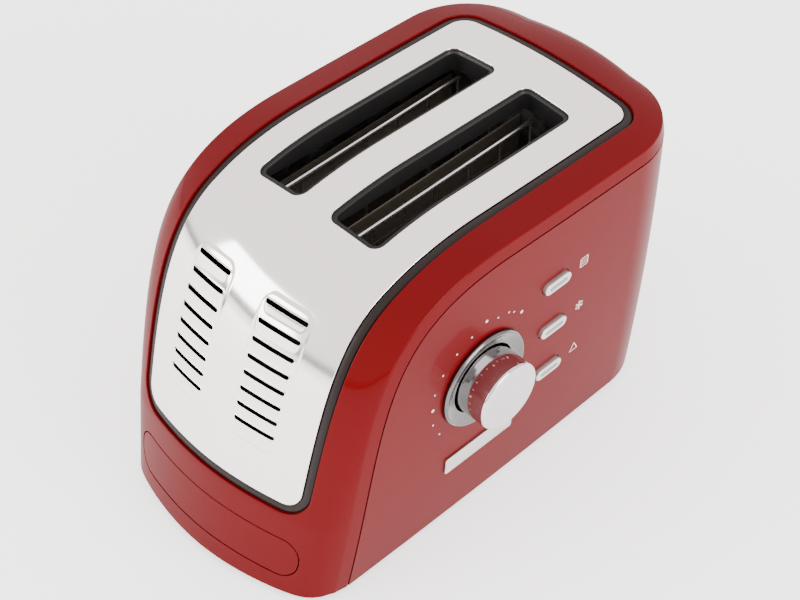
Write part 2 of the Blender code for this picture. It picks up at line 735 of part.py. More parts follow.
CARRIAGE_Z = LIFT_REST_Z - LIFTER_THICKNESS - NECK_HEIGHT / 2
WALL_Y = BODY_LENGTH + REAR_BOW + SEAM_STEP
lever_half = ARM_THICKNESS / 2 + SLIDE_GAP
lever_slot = place("lever_slot", box_mesh(
    "lever_slot", (-lever_half, WALL_Y - BASE_TUCK - SHELL_THICKNESS - OVERRUN,
                   CARRIAGE_Z - LIFT_TRAVEL - ARM_HEIGHT / 2 - LEVER_CLEARANCE),
    (lever_half, WALL_Y + OVERRUN, CARRIAGE_Z + ARM_HEIGHT / 2 + LEVER_CLEARANCE)), group=cutters)
combine(shell, lever_slot)
inlet_frame = rear_frame(-rear_half() * INLET_X_share, INLET_Z)
inlet_hole = place("inlet_hole", rod_mesh("inlet_hole", INLET_RADIUS + GAP, -SHELL_THICKNESS - OVERRUN,
                                          OVERRUN), inlet_frame, group=cutters)
combine(shell, inlet_hole)
smooth(shell)

# Crumb tray front: the curved red panel, and its opening in the cover

tray_low = arc_at_height(TRAY_FRONT_LOW)
tray_high = arc_at_height(TRAY_FRONT_HIGH)
tray_front = wrap_patch("tray_front", tray_low, tray_high, -TRAY_FRONT_HALF, TRAY_FRONT_HALF,
                        TRAY_FRONT_RADIUS, 0.0, COVER_THICKNESS, red)
smooth(tray_front)
tray_cut = wrap_patch("tray_cut", tray_low - TRAY_FRONT_GAP, tray_high + TRAY_FRONT_GAP,
                      -TRAY_FRONT_HALF - TRAY_FRONT_GAP, TRAY_FRONT_HALF + TRAY_FRONT_GAP,
                      TRAY_FRONT_RADIUS + TRAY_FRONT_GAP, OVERRUN, 2 * OVERRUN + COVER_THICKNESS,
                      group=cutters)
combine(cover, tray_cut)

# Crumb tray: an open pan whose front edge follows the inside of its curved front

tray_top = TRAY_BOTTOM + TRAY_DEPTH
tray = place("crumb_tray", box_mesh("crumb_tray", (-TRAY_HALF, -TRAY_FRONT_HALF, TRAY_BOTTOM),
                                    (TRAY_HALF, TRAY_END_Y, tray_top)), look=sheet)
pan_low = (TRAY_WALL - TRAY_HALF, -TRAY_FRONT_HALF, TRAY_BOTTOM + TRAY_WALL)
pan_high = (TRAY_HALF - TRAY_WALL, TRAY_END_Y - TRAY_WALL, tray_top + OVERRUN)
tray_pan = place("tray_pan", box_mesh("tray_pan", pan_low, pan_high), group=cutters)
for made, inset in ((tray, COVER_THICKNESS + GAP), (tray_pan, COVER_THICKNESS + GAP + TRAY_WALL)):
    nose = wrap_patch(f"{made.name}_nose", -FOOT_OVERRUN, tray_high + TRAY_FRONT_RADIUS, -HALF_WIDTH,
                      HALF_WIDTH, 0.0, -inset, HALF_WIDTH, group=cutters, offset=1.0)
    combine(made, nose)
combine(tray, tray_pan)

# Trim: dark gasket round the steel panel, with a flange under both

trim = wrap_patch("trim_gasket", TRIM_START, trim_end, -TRIM_HALF, TRIM_HALF, TRIM_RADIUS,
                  -TRIM_RECESS, TRIM_UNDERCUT, trim_black)
trim_under = wrap_patch("trim_under", TRIM_START - TRIM_UNDERCUT, trim_end + TRIM_UNDERCUT,
                        -TRIM_HALF - TRIM_UNDERCUT, TRIM_HALF + TRIM_UNDERCUT,
                        TRIM_RADIUS + TRIM_UNDERCUT, -COVER_THICKNESS - 2 * GAP, TRIM_FLANGE,
                        group=cutters)
combine(trim, trim_under, "UNION")
panel_half = TRIM_HALF - TRIM_WIDTH
panel_radius = TRIM_RADIUS - TRIM_WIDTH
trim_core = wrap_patch("trim_core", TRIM_START + TRIM_WIDTH, trim_end - TRIM_WIDTH, -panel_half,
                       panel_half, panel_radius, OVERRUN,
                       OVERRUN + PANEL_RECESS + PANEL_THICKNESS + GAP, group=cutters)
combine(trim, trim_core)
trim_throat = wrap_patch("trim_throat", TRIM_START + TRIM_WIDTH + TRIM_UNDERCUT,
                         trim_end - TRIM_WIDTH - TRIM_UNDERCUT, TRIM_UNDERCUT - panel_half,
                         panel_half - TRIM_UNDERCUT, panel_radius - TRIM_UNDERCUT, OVERRUN,
                         3 * OVERRUN, group=cutters)
combine(trim, trim_throat)
smooth(trim)

# Steel panel with two columns of raised louvres

panel_low = TRIM_START + TRIM_WIDTH + GAP
panel_high = trim_end - TRIM_WIDTH - GAP
panel_edge = panel_half - GAP
louvre_inner = LOUVRE_CENTRE - LOUVRE_LENGTH / 2
louvre_outer = LOUVRE_CENTRE + LOUVRE_LENGTH / 2
places_across = [0.0, louvre_inner - LOUVRE_FADE, louvre_inner, LOUVRE_CENTRE, louvre_outer,
                 louvre_outer + LOUVRE_FADE, panel_edge]
places_across = [-place_x for place_x in reversed(places_across[1:])] + places_across


def louvre_lift(arc, place_x):
    """Raised scoop under each slit, full height at the slit and fading out below it."""
    if not louvre_inner - GAP < abs(place_x) < louvre_outer + GAP:
        return -PANEL_RECESS
    for index in range(LOUVRE_ROWS):
        below = LOUVRE_FIRST + index * LOUVRE_PITCH - LOUVRE_SLIT / 2 + GAP - arc
        if 0 <= below < LOUVRE_SKIRT - LOUVRE_SLIT:
            return LOUVRE_RISE * (1 - below / (LOUVRE_SKIRT - LOUVRE_SLIT)) - PANEL_RECESS
    return -PANEL_RECESS


def panel_rows():
    rows = []
    for arc, left, right in wrap_rows(panel_low, panel_high, -panel_edge, panel_edge, panel_radius):
        if arc < panel_low + panel_radius + GAP or arc > panel_high - panel_radius - GAP:
            rows.append((arc, right / panel_edge))
    middle = len(rows) // 2
    arcs = []
    for index in range(LOUVRE_ROWS):
        slit = LOUVRE_FIRST + index * LOUVRE_PITCH
        arcs += [slit - LOUVRE_SLIT / 2, slit + LOUVRE_SLIT / 2]
    arcs.insert(0, LOUVRE_FIRST - LOUVRE_SKIRT)
    arcs += [arc for arc in side_arcs if arcs[-1] + LOUVRE_SKIRT / 2 < arc < panel_high - panel_radius]
    return rows[:middle] + [(arc, 1.0) for arc in arcs] + rows[middle:]


rows = panel_rows()
panel_points = [wrap(arc, place_x * width, louvre_lift(arc, place_x))
                for arc, width in rows for place_x in places_across]
panel = place("top_panel", surface("top_panel", panel_points, quads(len(rows), len(places_across))),
              look=steel)
solidify(panel, PANEL_THICKNESS)


def tangent_frame(arc, place_x):
    """Frame on the surface of the front and top: Z points out and X runs across."""
    point = wrap(arc, place_x)
    out = (wrap(arc, place_x, OVERRUN) - point).normalized()
    sideways = (wrap(arc, place_x + GAP) - wrap(arc, place_x - GAP)).normalized()
    along = out.cross(sideways)
    return Matrix.Translation(point) @ Matrix((sideways, along, out)).transposed().to_4x4()


slit_outline = rounded_outline(LOUVRE_LENGTH / 2 - LOUVRE_SLIT / 4, LOUVRE_SLIT / 2, LOUVRE_SLIT / 2, 1)
for side in (-1, 1):
    for index in range(LOUVRE_ROWS):
        slit = place(f"slit_{side}_{index}", prism_mesh("slit", slit_outline, -OVERRUN, OVERRUN),
                     tangent_frame(LOUVRE_FIRST + index * LOUVRE_PITCH, side * LOUVRE_CENTRE),
                     group=cutters)
        combine(panel, slit)

# Bread slot collars: a ledge under the edge of each slot and a throat that goes down from it

slot_arcs = (arc_at_y(SLOT_START_Y), arc_at_y(SLOT_START_Y + SLOT_LENGTH))
throat_half = SLOT_WIDTH / 2 - COLLAR_LEDGE
ledge_top = -PANEL_RECESS - PANEL_THICKNESS - 2 * GAP
for side, name in ((-1, "slot_collar_left"), (1, "slot_collar_right")):
    frame = tangent_frame(sum(slot_arcs) / 2, side * SLOT_CENTRE)
    left, right = sorted((side * (SLOT_CENTRE - SLOT_WIDTH / 2), side * (SLOT_CENTRE + SLOT_WIDTH / 2)))
    collar = wrap_patch(name, slot_arcs[0] - COLLAR_LEDGE, slot_arcs[1] + COLLAR_LEDGE,
                        left - COLLAR_LEDGE, right + COLLAR_LEDGE, SLOT_RADIUS + COLLAR_LEDGE,
                        ledge_top, COLLAR_WALL, black)
    half_y = SLOT_LENGTH / 2 - COLLAR_LEDGE
    radius = SLOT_RADIUS - COLLAR_LEDGE
    throat = place(f"{name}_throat", prism_mesh(
        "throat", rounded_outline(throat_half + COLLAR_WALL, half_y + COLLAR_WALL, radius + COLLAR_WALL),
        -COLLAR_DEPTH, OVERRUN), frame, group=cutters)
    throat_top = wrap_patch(f"{name}_top", slot_arcs[0] - OVERRUN, slot_arcs[1] + OVERRUN, left - OVERRUN,
                            right + OVERRUN, 0.0, ledge_top - COLLAR_WALL / 2, 4 * OVERRUN,
                            group=cutters, columns=5, offset=1.0)
    combine(throat, throat_top)
    combine(collar, throat, "UNION")
    bread_way = place(f"{name}_way", prism_mesh(
        "bread_way", rounded_outline(throat_half, half_y, radius), -COLLAR_DEPTH - OVERRUN, OVERRUN),
        frame, group=cutters)
    combine(collar, bread_way)
    smooth(collar)
    slot_hole = place(f"{name}_hole", prism_mesh(
        "slot_hole", rounded_outline(SLOT_WIDTH / 2, SLOT_LENGTH / 2, SLOT_RADIUS), -COLLAR_DEPTH, OVERRUN),
        frame, group=cutters)
    combine(panel, slot_hole)
smooth(panel)

# Base plate with the two rails that carry the crumb tray

def base_outline(clearance):
    """Plan of the inside of the housing at the base, counter clockwise from the front right."""
    top = BASE_LIFT + BASE_THICKNESS
    front = []
    for share in ACROSS_SHARES[:-1]:
        inside = -COVER_THICKNESS - clearance
        arc = arc_at_height(top, share * HALF_WIDTH, inside)
        front.append(wrap(arc, share * HALF_WIDTH, inside))
    right = [Vector((point.x, point.y)) for point in front]
    inside = SEAM_STEP - SHELL_THICKNESS - clearance
    start = right[-1].y + BASE_SIDE_START
    for share in SIDE_SHARES:
        y = start + (CORNER_START_Y - start) * share
        right.append(Vector((side_x(y, BASE_LIFT, inside), y)))
    for step in range(1, CORNER_STEPS + 1):
        point = corner_point(step / CORNER_STEPS * math.pi / 2, BASE_LIFT, inside)
        right.append(Vector((point.x, point.y)))
    edge = right[-1]
    right += [Vector((edge.x * (1 - share), edge.y + rear_bow(edge.x * (1 - share))))
              for share in SIDE_SHARES[1:]]
    left = [Vector((-point.x, point.y)) for point in reversed(right) if point.x > GAP]
    return right + left


base = place("base_plate", prism_mesh("base_plate", base_outline(GAP), BASE_LIFT,
                                      BASE_LIFT + BASE_THICKNESS), look=black)
base_top = BASE_LIFT + BASE_THICKNESS
for side in (-1, 1):
    inner, outer = sorted((side * BASE_RAIL_HALF, side * (BASE_RAIL_HALF + BASE_RAIL_WIDTH)))
    rail = place(f"base_rail_{side}", box_mesh(
        "rail", (inner, FOOT_FRONT_Y / 2, base_top - BASE_THICKNESS / 2),
        (outer, TRAY_END_Y, TRAY_BOTTOM - GAP)), group=cutters)
    combine(base, rail, "UNION")

for number, (x, y) in enumerate(((-FOOT_INSET_X, FOOT_FRONT_Y), (FOOT_INSET_X, FOOT_FRONT_Y),
                                 (-FOOT_INSET_X, FOOT_REAR_Y), (FOOT_INSET_X, FOOT_REAR_Y)), 1):
    tip = FOOT_RADIUS - FOOT_TAPER
    foot_top = BASE_LIFT - GAP
    turned(f"foot_{number}", [(0, foot_top), (FOOT_RADIUS, foot_top), (FOOT_RADIUS, foot_top - FOOT_TAPER),
                              (tip, -FOOT_HEIGHT), (0, -FOOT_HEIGHT)],
           rubber, Matrix.Translation((x, y, 0)), SMALL_SEGMENTS)

# Browning control: dished ring, knob, shaft and the body of its potentiometer

skirt = RING_INNER + RING_SKIRT
ring = turned("knob_ring", [(RING_OUTER - RING_LAND, RING_RIM_HEIGHT), (RING_OUTER, RING_RIM_HEIGHT / 2),
                            (RING_OUTER, GAP), (skirt, GAP), (skirt, -RING_SKIRT_DEPTH),
                            (RING_INNER, -RING_SKIRT_DEPTH), (RING_INNER, RING_DISH_HEIGHT),
                            (RING_INNER + RING_LAND, RING_DISH_HEIGHT),
                            (RING_OUTER - 3 * RING_LAND, RING_RIM_HEIGHT - RING_LAND)],
              dark_chrome, KNOB_AXIS)
smooth(ring)
bore = SHAFT_RADIUS + GAP
crown = KNOB_REACH - 2 * KNOB_SKIN
turned("browning_knob", [(0, KNOB_REACH + KNOB_DOME), (KNOB_RADIUS / 2, KNOB_REACH + KNOB_DOME * 3 / 4),
                         (KNOB_RADIUS - KNOB_EDGE, KNOB_REACH), (KNOB_RADIUS, KNOB_REACH - KNOB_EDGE),
                         (KNOB_RADIUS, -KNOB_SINK), (KNOB_RADIUS - KNOB_SKIN, -KNOB_SINK),
                         (KNOB_RADIUS - KNOB_SKIN, crown), (KNOB_HUB_RADIUS, crown),
                         (KNOB_HUB_RADIUS, -KNOB_SINK), (bore, -KNOB_SINK), (bore, SHAFT_TIP + GAP),
                         (0, SHAFT_TIP + GAP)], chrome, KNOB_AXIS)
pot_top = POT_HEIGHT - BOARD_DEPTH + GAP
turned("knob_shaft", [(0, SHAFT_TIP), (SHAFT_RADIUS, SHAFT_TIP), (SHAFT_RADIUS, pot_top + GAP),
                      (0, pot_top + GAP)], steel, KNOB_AXIS, SMALL_SEGMENTS)
turned("potentiometer", [(0, pot_top), (POT_RADIUS, pot_top), (POT_RADIUS, GAP - BOARD_DEPTH),
                         (0, GAP - BOARD_DEPTH)], black, KNOB_AXIS, SMALL_SEGMENTS)
place("control_board", box_mesh(
    "control_board", (-BOARD_LEAD, -BOARD_HALF, -BOARD_DEPTH - BOARD_THICKNESS),
    (BOARD_BACK, BOARD_HALF, -BOARD_DEPTH)), KNOB_AXIS, board_green)

# Push buttons with their light bars, and the switches behind them

for number, frame in enumerate(button_frames, 1):
    head = rounded_outline(BUTTON_LENGTH / 2, BUTTON_HEIGHT / 2, BUTTON_HEIGHT)
    bevelled = rounded_outline(BUTTON_LENGTH / 2 - BUTTON_EDGE, BUTTON_HEIGHT / 2 - BUTTON_EDGE,
                               BUTTON_HEIGHT)
    flange = rounded_outline(BUTTON_LENGTH / 2 + BUTTON_FLANGE_LIP, BUTTON_HEIGHT / 2 + BUTTON_FLANGE_LIP,
                             BUTTON_HEIGHT)
    inside = -SHELL_THICKNESS - GAP
    rings = [ring_at(head, -BUTTON_DEPTH), ring_at(head, inside - BUTTON_FLANGE),
             ring_at(flange, inside - BUTTON_FLANGE), ring_at(flange, inside), ring_at(head, inside),
             ring_at(head, BUTTON_REACH - BUTTON_EDGE), ring_at(bevelled, BUTTON_REACH)]
    button = place(f"button_{number}", loft_mesh(f"button_{number}", rings), frame, silver)
    pocket = place(f"lens_pocket_{number}", prism_mesh(
        "lens_pocket", rounded_outline(LENS_LENGTH / 2 + GAP, LENS_HEIGHT / 2 + GAP, LENS_HEIGHT, 3),
        BUTTON_REACH - LENS_DEPTH - GAP, BUTTON_REACH + OVERRUN), frame, group=cutters)
    combine(button, pocket)
    smooth(button)
    place(f"button_lens_{number}", prism_mesh(
        "button_lens", rounded_outline(LENS_LENGTH / 2, LENS_HEIGHT / 2, LENS_HEIGHT, 3),
        BUTTON_REACH - LENS_DEPTH, BUTTON_REACH + LENS_STAND), frame, lens_grey)
    spot = KNOB_AXIS.inverted() @ frame.translation
    place(f"button_switch_{number}", box_mesh(
        "button_switch", (spot.x - SWITCH_SIZE / 2, spot.y - SWITCH_SIZE / 2, GAP - BOARD_DEPTH),
        (spot.x + SWITCH_SIZE / 2, spot.y + SWITCH_SIZE / 2, SWITCH_HEIGHT - BOARD_DEPTH)),
        KNOB_AXIS, black)

badge_outline = rounded_outline(BADGE_LENGTH / 2, BADGE_HEIGHT / 2, BADGE_RADIUS, 3)
place("badge_plate", prism_mesh("badge_plate", badge_outline, GAP, GAP + BADGE_THICKNESS),
      side_frame(BADGE_START_Y + BADGE_LENGTH / 2, BADGE_Z), silver)

# Chassis: two bulkheads, side reflectors and heater cards between them

under_panel = wrap_patch("under_panel", TRIM_START, trim_end, -HALF_WIDTH, HALF_WIDTH, 0.0,
                         -TRIM_RECESS - TRIM_UNDERCUT - GAP, HALF_WIDTH, group=cutters, offset=1.0)
tray_way = place("tray_way", box_mesh("tray_way", (-TRAY_HALF - BULKHEAD_THICKNESS, FRONT_FOOT_Y, 0),
                                      (TRAY_HALF + BULKHEAD_THICKNESS, BODY_LENGTH,
                                       tray_top + BULKHEAD_THICKNESS)), group=cutters)
neck_cuts = []
bulkheads = []
for side in (-1, 1):
    half = NECK_THICKNESS / 2 + SLIDE_GAP
    neck_cuts.append(place(f"neck_way_{side}", box_mesh(
        "neck_way", (side * SLOT_CENTRE - half, FRONT_FOOT_Y, CARRIAGE_Z - LIFT_TRAVEL - NECK_HEIGHT),
        (side * SLOT_CENTRE + half, BODY_LENGTH, CARRIAGE_Z + NECK_HEIGHT)), group=cutters))
for name, y in (("bulkhead_front", BULKHEAD_FRONT_Y), ("bulkhead_rear", BULKHEAD_REAR_Y)):
    bulkhead = place(name, box_mesh(
        name, (-BULKHEAD_HALF, y - BULKHEAD_THICKNESS / 2, base_top + GAP),
        (BULKHEAD_HALF, y + BULKHEAD_THICKNESS / 2, CREASE_HEIGHT + CROWN_RISE)), look=sheet)
    for cut in (under_panel, tray_way, *neck_cuts):
        combine(bulkhead, cut)
    bulkheads.append(bulkhead)

chamber_start = BULKHEAD_FRONT_Y + BULKHEAD_THICKNESS / 2 + GAP
chamber_end = BULKHEAD_REAR_Y - BULKHEAD_THICKNESS / 2 - GAP
for name, x in (("reflector_left", -REFLECTOR_X), ("reflector_right", REFLECTOR_X)):
    place(name, box_mesh(name, (x - REFLECTOR_THICKNESS / 2, chamber_start, CHAMBER_LOW),
                         (x + REFLECTOR_THICKNESS / 2, chamber_end, HEATER_HIGH)), look=sheet)

winding_pitch = (HEATER_HIGH - HEATER_LOW) / WINDING_COUNT
for name, x in (("heater_left", -HEATER_OUTER_X), ("heater_centre", 0.0), ("heater_right", HEATER_OUTER_X)):
    card = place(name, box_mesh(name, (x - HEATER_THICKNESS / 2, chamber_start, HEATER_LOW),
                                (x + HEATER_THICKNESS / 2, chamber_end, HEATER_HIGH)), look=mica)
    for index in range(WINDING_COUNT):
        z = HEATER_LOW + (index + 0.5) * winding_pitch
        reach = HEATER_THICKNESS / 2 + WINDING_STAND
        ribbon = place(f"{name}_ribbon_{index}", box_mesh(
            "ribbon", (x - reach, chamber_start + GUIDE_MARGIN, z - WINDING_WIDTH / 2),
            (x + reach, chamber_end - GUIDE_MARGIN, z + WINDING_WIDTH / 2)), group=cutters)
        combine(card, ribbon, "UNION")

# Bread guides: wire grids hinged on their bottom rods

guide_length = chamber_end - chamber_start + 2 * (BULKHEAD_THICKNESS + GUIDE_OVERHANG)
for name, x in (("guide_left_outer", -SLOT_CENTRE - GUIDE_OFFSET),
                ("guide_left_inner", -SLOT_CENTRE + GUIDE_OFFSET),
                ("guide_right_inner", SLOT_CENTRE - GUIDE_OFFSET),
                ("guide_right_outer", SLOT_CENTRE + GUIDE_OFFSET)):
    frame = Matrix.Translation((x, (chamber_start + chamber_end) / 2, GUIDE_LOW))
    guide = place(name, rod_mesh(name, GUIDE_ROD, -guide_length / 2, guide_length / 2, 8, "Y"), frame, wire)
    height = GUIDE_HIGH - GUIDE_LOW
    span = chamber_end - chamber_start - 2 * GUIDE_MARGIN
    rod_half = span / 2 + GUIDE_ROD
    top_rod = place(f"{name}_top", rod_mesh("top_rod", GUIDE_ROD, -rod_half, rod_half, 8, "Y"),
                    frame @ Matrix.Translation((0, 0, height)), group=cutters)
    combine(guide, top_rod, "UNION")
    for index in range(GUIDE_WIRES):
        y = span * (index / (GUIDE_WIRES - 1) - 0.5)
        upright = place(f"{name}_wire_{index}", rod_mesh("upright", GUIDE_WIRE, 0, height, 6),
                        frame @ Matrix.Translation((0, y, 0)), group=cutters)
        combine(guide, upright, "UNION")
    smooth(guide)
    pivot = place(f"{name}_pivot", rod_mesh("pivot", GUIDE_ROD + SLIDE_GAP, -BODY_LENGTH, BODY_LENGTH,
                                            8, "Y"), frame, group=cutters)
    for bulkhead in bulkheads:
        combine(bulkhead, pivot)

# Bread lifters, the carriage that joins them, its guide rod and the lever

bar_y = BULKHEAD_REAR_Y + CARRIAGE_GAP_Y
rod_y = BULKHEAD_REAR_Y + ROD_SETBACK
for side, name in ((-1, "lifter_left"), (1, "lifter_right")):
    frame = Matrix.Translation((side * SLOT_CENTRE, 0, LIFT_REST_Z))
    half, skin = LIFTER_HALF, LIFTER_THICKNESS
    channel = [(-half, -LIFTER_LIP), (-half + skin, -LIFTER_LIP), (-half + skin, -skin), (half - skin, -skin),
               (half - skin, -LIFTER_LIP), (half, -LIFTER_LIP), (half, 0), (-half, 0)]
    rings = [[Vector((x, y, z)) for x, z in channel]
             for y in (chamber_start + BULKHEAD_THICKNESS, chamber_end - BULKHEAD_THICKNESS)]
    mesh = loft_mesh(name, rings)
    mesh.flip_normals()
    lifter = place(name, mesh, frame, sheet)
    neck = place(f"{name}_neck", box_mesh(
        "neck", (-NECK_THICKNESS / 2, BULKHEAD_FRONT_Y - NECK_HEIGHT / 2, -skin / 2 - NECK_HEIGHT),
        (NECK_THICKNESS / 2, bar_y - GAP, -skin / 2)), frame, group=cutters)
    combine(lifter, neck, "UNION")

carriage_frame = Matrix.Translation((0, 0, CARRIAGE_Z))
bar_half = SLOT_CENTRE + CARRIAGE_SPREAD
carriage = place("carriage", box_mesh("carriage", (-bar_half, bar_y, -CARRIAGE_HEIGHT / 2),
                                      (bar_half, bar_y + CARRIAGE_THICKNESS, CARRIAGE_HEIGHT / 2)),
                 carriage_frame, sheet)
runner = place("runner", rod_mesh("runner", RUNNER_RADIUS, -CARRIAGE_HEIGHT / 2, CARRIAGE_HEIGHT / 2),
               carriage_frame @ Matrix.Translation((0, rod_y, 0)), group=cutters)
web = place("web", box_mesh("web", (-ARM_THICKNESS, bar_y + CARRIAGE_THICKNESS / 2, -ARM_HEIGHT),
                            (ARM_THICKNESS, rod_y, ARM_HEIGHT)), carriage_frame, group=cutters)
lever_start = WALL_Y + LEVER_CLEARANCE
arm = place("arm", box_mesh("arm", (-ARM_THICKNESS / 2, rod_y, -ARM_HEIGHT / 2),
                            (ARM_THICKNESS / 2, lever_start + LEVER_SOCKET, ARM_HEIGHT / 2)),
            carriage_frame, group=cutters)
rod_bore = place("rod_bore", rod_mesh("rod_bore", ROD_RADIUS + SLIDE_GAP, -CARRIAGE_HEIGHT, CARRIAGE_HEIGHT),
                 carriage_frame @ Matrix.Translation((0, rod_y, 0)), group=cutters)
for piece in (web, runner, arm):
    combine(carriage, piece, "UNION")
combine(carriage, rod_bore)

place("guide_rod", rod_mesh("guide_rod", ROD_RADIUS, base_top + GAP, ROD_BRACKET_Z - GAP),
      Matrix.Translation((0, rod_y, 0)), steel)
behind_bulkhead = BULKHEAD_REAR_Y + BULKHEAD_THICKNESS / 2 + GAP
place("rod_bracket", box_mesh(
    "rod_bracket", (-ROD_BRACKET_HALF, behind_bulkhead, ROD_BRACKET_Z),
    (ROD_BRACKET_HALF, rod_y + RUNNER_RADIUS, ROD_BRACKET_Z + BASE_THICKNESS)), look=sheet)

lever = place("lever_knob", box_mesh("lever_knob", (-LEVER_WIDTH / 2, lever_start, -LEVER_HEIGHT / 2),
                                     (LEVER_WIDTH / 2, lever_start + LEVER_REACH, LEVER_HEIGHT / 2)),
              carriage_frame, black)
round_edges(lever, LEVER_EDGE, 3)
socket = place("lever_socket", box_mesh(
    "lever_socket", (-ARM_THICKNESS / 2 - GAP, lever_start - OVERRUN, -ARM_HEIGHT / 2 - GAP),
    (ARM_THICKNESS / 2 + GAP, lever_start + LEVER_SOCKET + GAP, ARM_HEIGHT / 2 + GAP)),
    carriage_frame, group=cutters)
combine(lever, socket)
smooth(lever)

magnet_top = CARRIAGE_Z - LIFT_TRAVEL - CARRIAGE_HEIGHT / 2 - SLIDE_GAP
place("latch_magnet", box_mesh(
    "latch_magnet", (MAGNET_X - MAGNET_SIZE / 2, behind_bulkhead, magnet_top - MAGNET_HEIGHT),
    (MAGNET_X + MAGNET_SIZE / 2, behind_bulkhead + MAGNET_SIZE, magnet_top)), look=copper)

gland = turned("cord_inlet", [(INLET_BORE, INLET_FLANGE), (INLET_RADIUS + INLET_FLANGE, INLET_FLANGE),
                              (INLET_RADIUS + INLET_FLANGE, GAP), (INLET_RADIUS, GAP),
                              (INLET_RADIUS, -SHELL_THICKNESS - INLET_FLANGE),
                              (INLET_BORE, -SHELL_THICKNESS - INLET_FLANGE)],
               black, inlet_frame, SMALL_SEGMENTS)
smooth(gland)
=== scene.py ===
"""Look of a two slot toaster with a red arched housing and a louvred steel panel.

Sizes are in metres, +Z up, the arched end faces -Y and the controls are on +X.
"""

import math

import bmesh
import bpy
import numpy as np
from mathutils import Matrix, Vector
from mathutils.geometry import delaunay_2d_cdt
from mathutils.kdtree import KDTree


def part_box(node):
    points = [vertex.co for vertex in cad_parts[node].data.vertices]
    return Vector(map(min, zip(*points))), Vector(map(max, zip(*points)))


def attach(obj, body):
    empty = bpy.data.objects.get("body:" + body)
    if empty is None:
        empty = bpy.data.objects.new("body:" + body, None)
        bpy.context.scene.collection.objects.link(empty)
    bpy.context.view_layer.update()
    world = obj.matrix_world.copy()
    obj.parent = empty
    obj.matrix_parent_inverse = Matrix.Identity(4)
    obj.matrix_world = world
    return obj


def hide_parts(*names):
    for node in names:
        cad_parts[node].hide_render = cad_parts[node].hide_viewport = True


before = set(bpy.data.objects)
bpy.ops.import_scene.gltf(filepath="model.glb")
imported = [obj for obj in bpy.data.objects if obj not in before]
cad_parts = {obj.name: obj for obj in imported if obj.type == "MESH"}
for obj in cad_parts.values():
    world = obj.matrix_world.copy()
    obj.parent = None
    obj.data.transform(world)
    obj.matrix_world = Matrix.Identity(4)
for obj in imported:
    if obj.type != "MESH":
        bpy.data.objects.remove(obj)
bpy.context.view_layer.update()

# Camera: high over the right hand front corner, looking down along the arch, as the photograph is
# taken. Everything below is laid out from the middle of the housing's floor edge, which the two
# front feet give: x right, y back, z up.
FOOT_ROW_Y = 0.0314
FOOT_HEIGHT = 0.005
left_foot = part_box("foot_1")
right_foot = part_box("foot_2")
ORIGIN = Vector(((left_foot[0].x + right_foot[1].x) / 2,
                 (left_foot[0].y + left_foot[1].y) / 2 - FOOT_ROW_Y,
                 left_foot[0].z + FOOT_HEIGHT))

IMAGE_WIDTH = 800
FOCAL_PIXELS = 2176.4
azimuth = math.radians(44.643)
elevation = math.radians(43.963)
camera_back = Vector((math.sin(azimuth) * math.cos(elevation), -math.cos(azimuth) * math.cos(elevation),
                      math.sin(elevation)))
camera_right = Vector((math.cos(azimuth), math.sin(azimuth), 0.0))
camera_up = camera_back.cross(camera_right)
camera_turn = Matrix((camera_right, camera_up, camera_back)).transposed().to_4x4()
camera_data = bpy.data.cameras.new("camera")
camera_data.sensor_width = 36.0
camera_data.lens = 36.0 * FOCAL_PIXELS / IMAGE_WIDTH
camera_data.clip_end = 20.0
camera = bpy.data.objects.new("camera", camera_data)
bpy.context.scene.collection.objects.link(camera)
camera.matrix_world = (Matrix.Translation(ORIGIN + Vector((0.63083, -0.50662, 0.94695))) @ camera_turn
                       @ Matrix.Rotation(math.radians(0.031), 4, "Z"))
bpy.context.scene.camera = camera


# Studio: a wide white floor in a pale room, whose walls are darker just over the floor. One soft
# window stands low in front, to the left, and is what the bend of the steel shows; one stands to
# the right and lights the red side.
class Value:
    """A number or colour that changes over a surface. The usual signs add the sums to its tree."""

    def __init__(self, nodes, socket):
        self.nodes = nodes
        self.socket = socket

    def math(self, operation, *others, clamp=False):
        inputs = dict(enumerate((self, *others)))
        return self.nodes.value("ShaderNodeMath", {"operation": operation, "use_clamp": clamp}, inputs)

    def __add__(self, other):
        return self.math("ADD", other)

    def __sub__(self, other):
        return self.math("SUBTRACT", other)

    def __rsub__(self, other):
        return self.math("MULTIPLY", -1.0).math("ADD", other)

    def __mul__(self, other):
        return self.math("MULTIPLY", other)

    __radd__ = __add__
    __rmul__ = __mul__


class Nodes:
    """A tree of nodes that is built from values."""

    def __init__(self, tree):
        self.tree = tree

    def plug(self, socket, value):
        """Give a socket a link, a colour or a number."""
        if isinstance(value, Value):
            self.tree.links.new(value.socket, socket)
        elif socket.type == "RGBA":
            socket.default_value = (*value, 1.0)
        else:
            socket.default_value = value

    def node(self, kind, settings, inputs):
        """Add a node: its settings first, then the values and links of its sockets."""
        made = self.tree.nodes.new(kind)
        for setting, value in settings.items():
            setattr(made, setting, value)
        for socket, value in inputs.items():
            self.plug(made.inputs[socket], value)
        return made

    def value(self, kind, settings, inputs, output=0):
        return Value(self, self.node(kind, settings, inputs).outputs[output])

    def band(self, value, low, high, first=0.0, last=1.0):
        """Go smoothly from the first number to the last as a value goes from low to high."""
        return self.value("ShaderNodeMapRange", {"interpolation_type": "SMOOTHSTEP"}, {
            "Value": value, "From Min": low, "From Max": high, "To Min": first, "To Max": last})

    def blend(self, share, first, second):
        """Colour from the first to the second as the share goes from 0 to 1."""
        return self.value("ShaderNodeMix", {"data_type": "RGBA"}, {0: share, 6: first, 7: second}, 2)


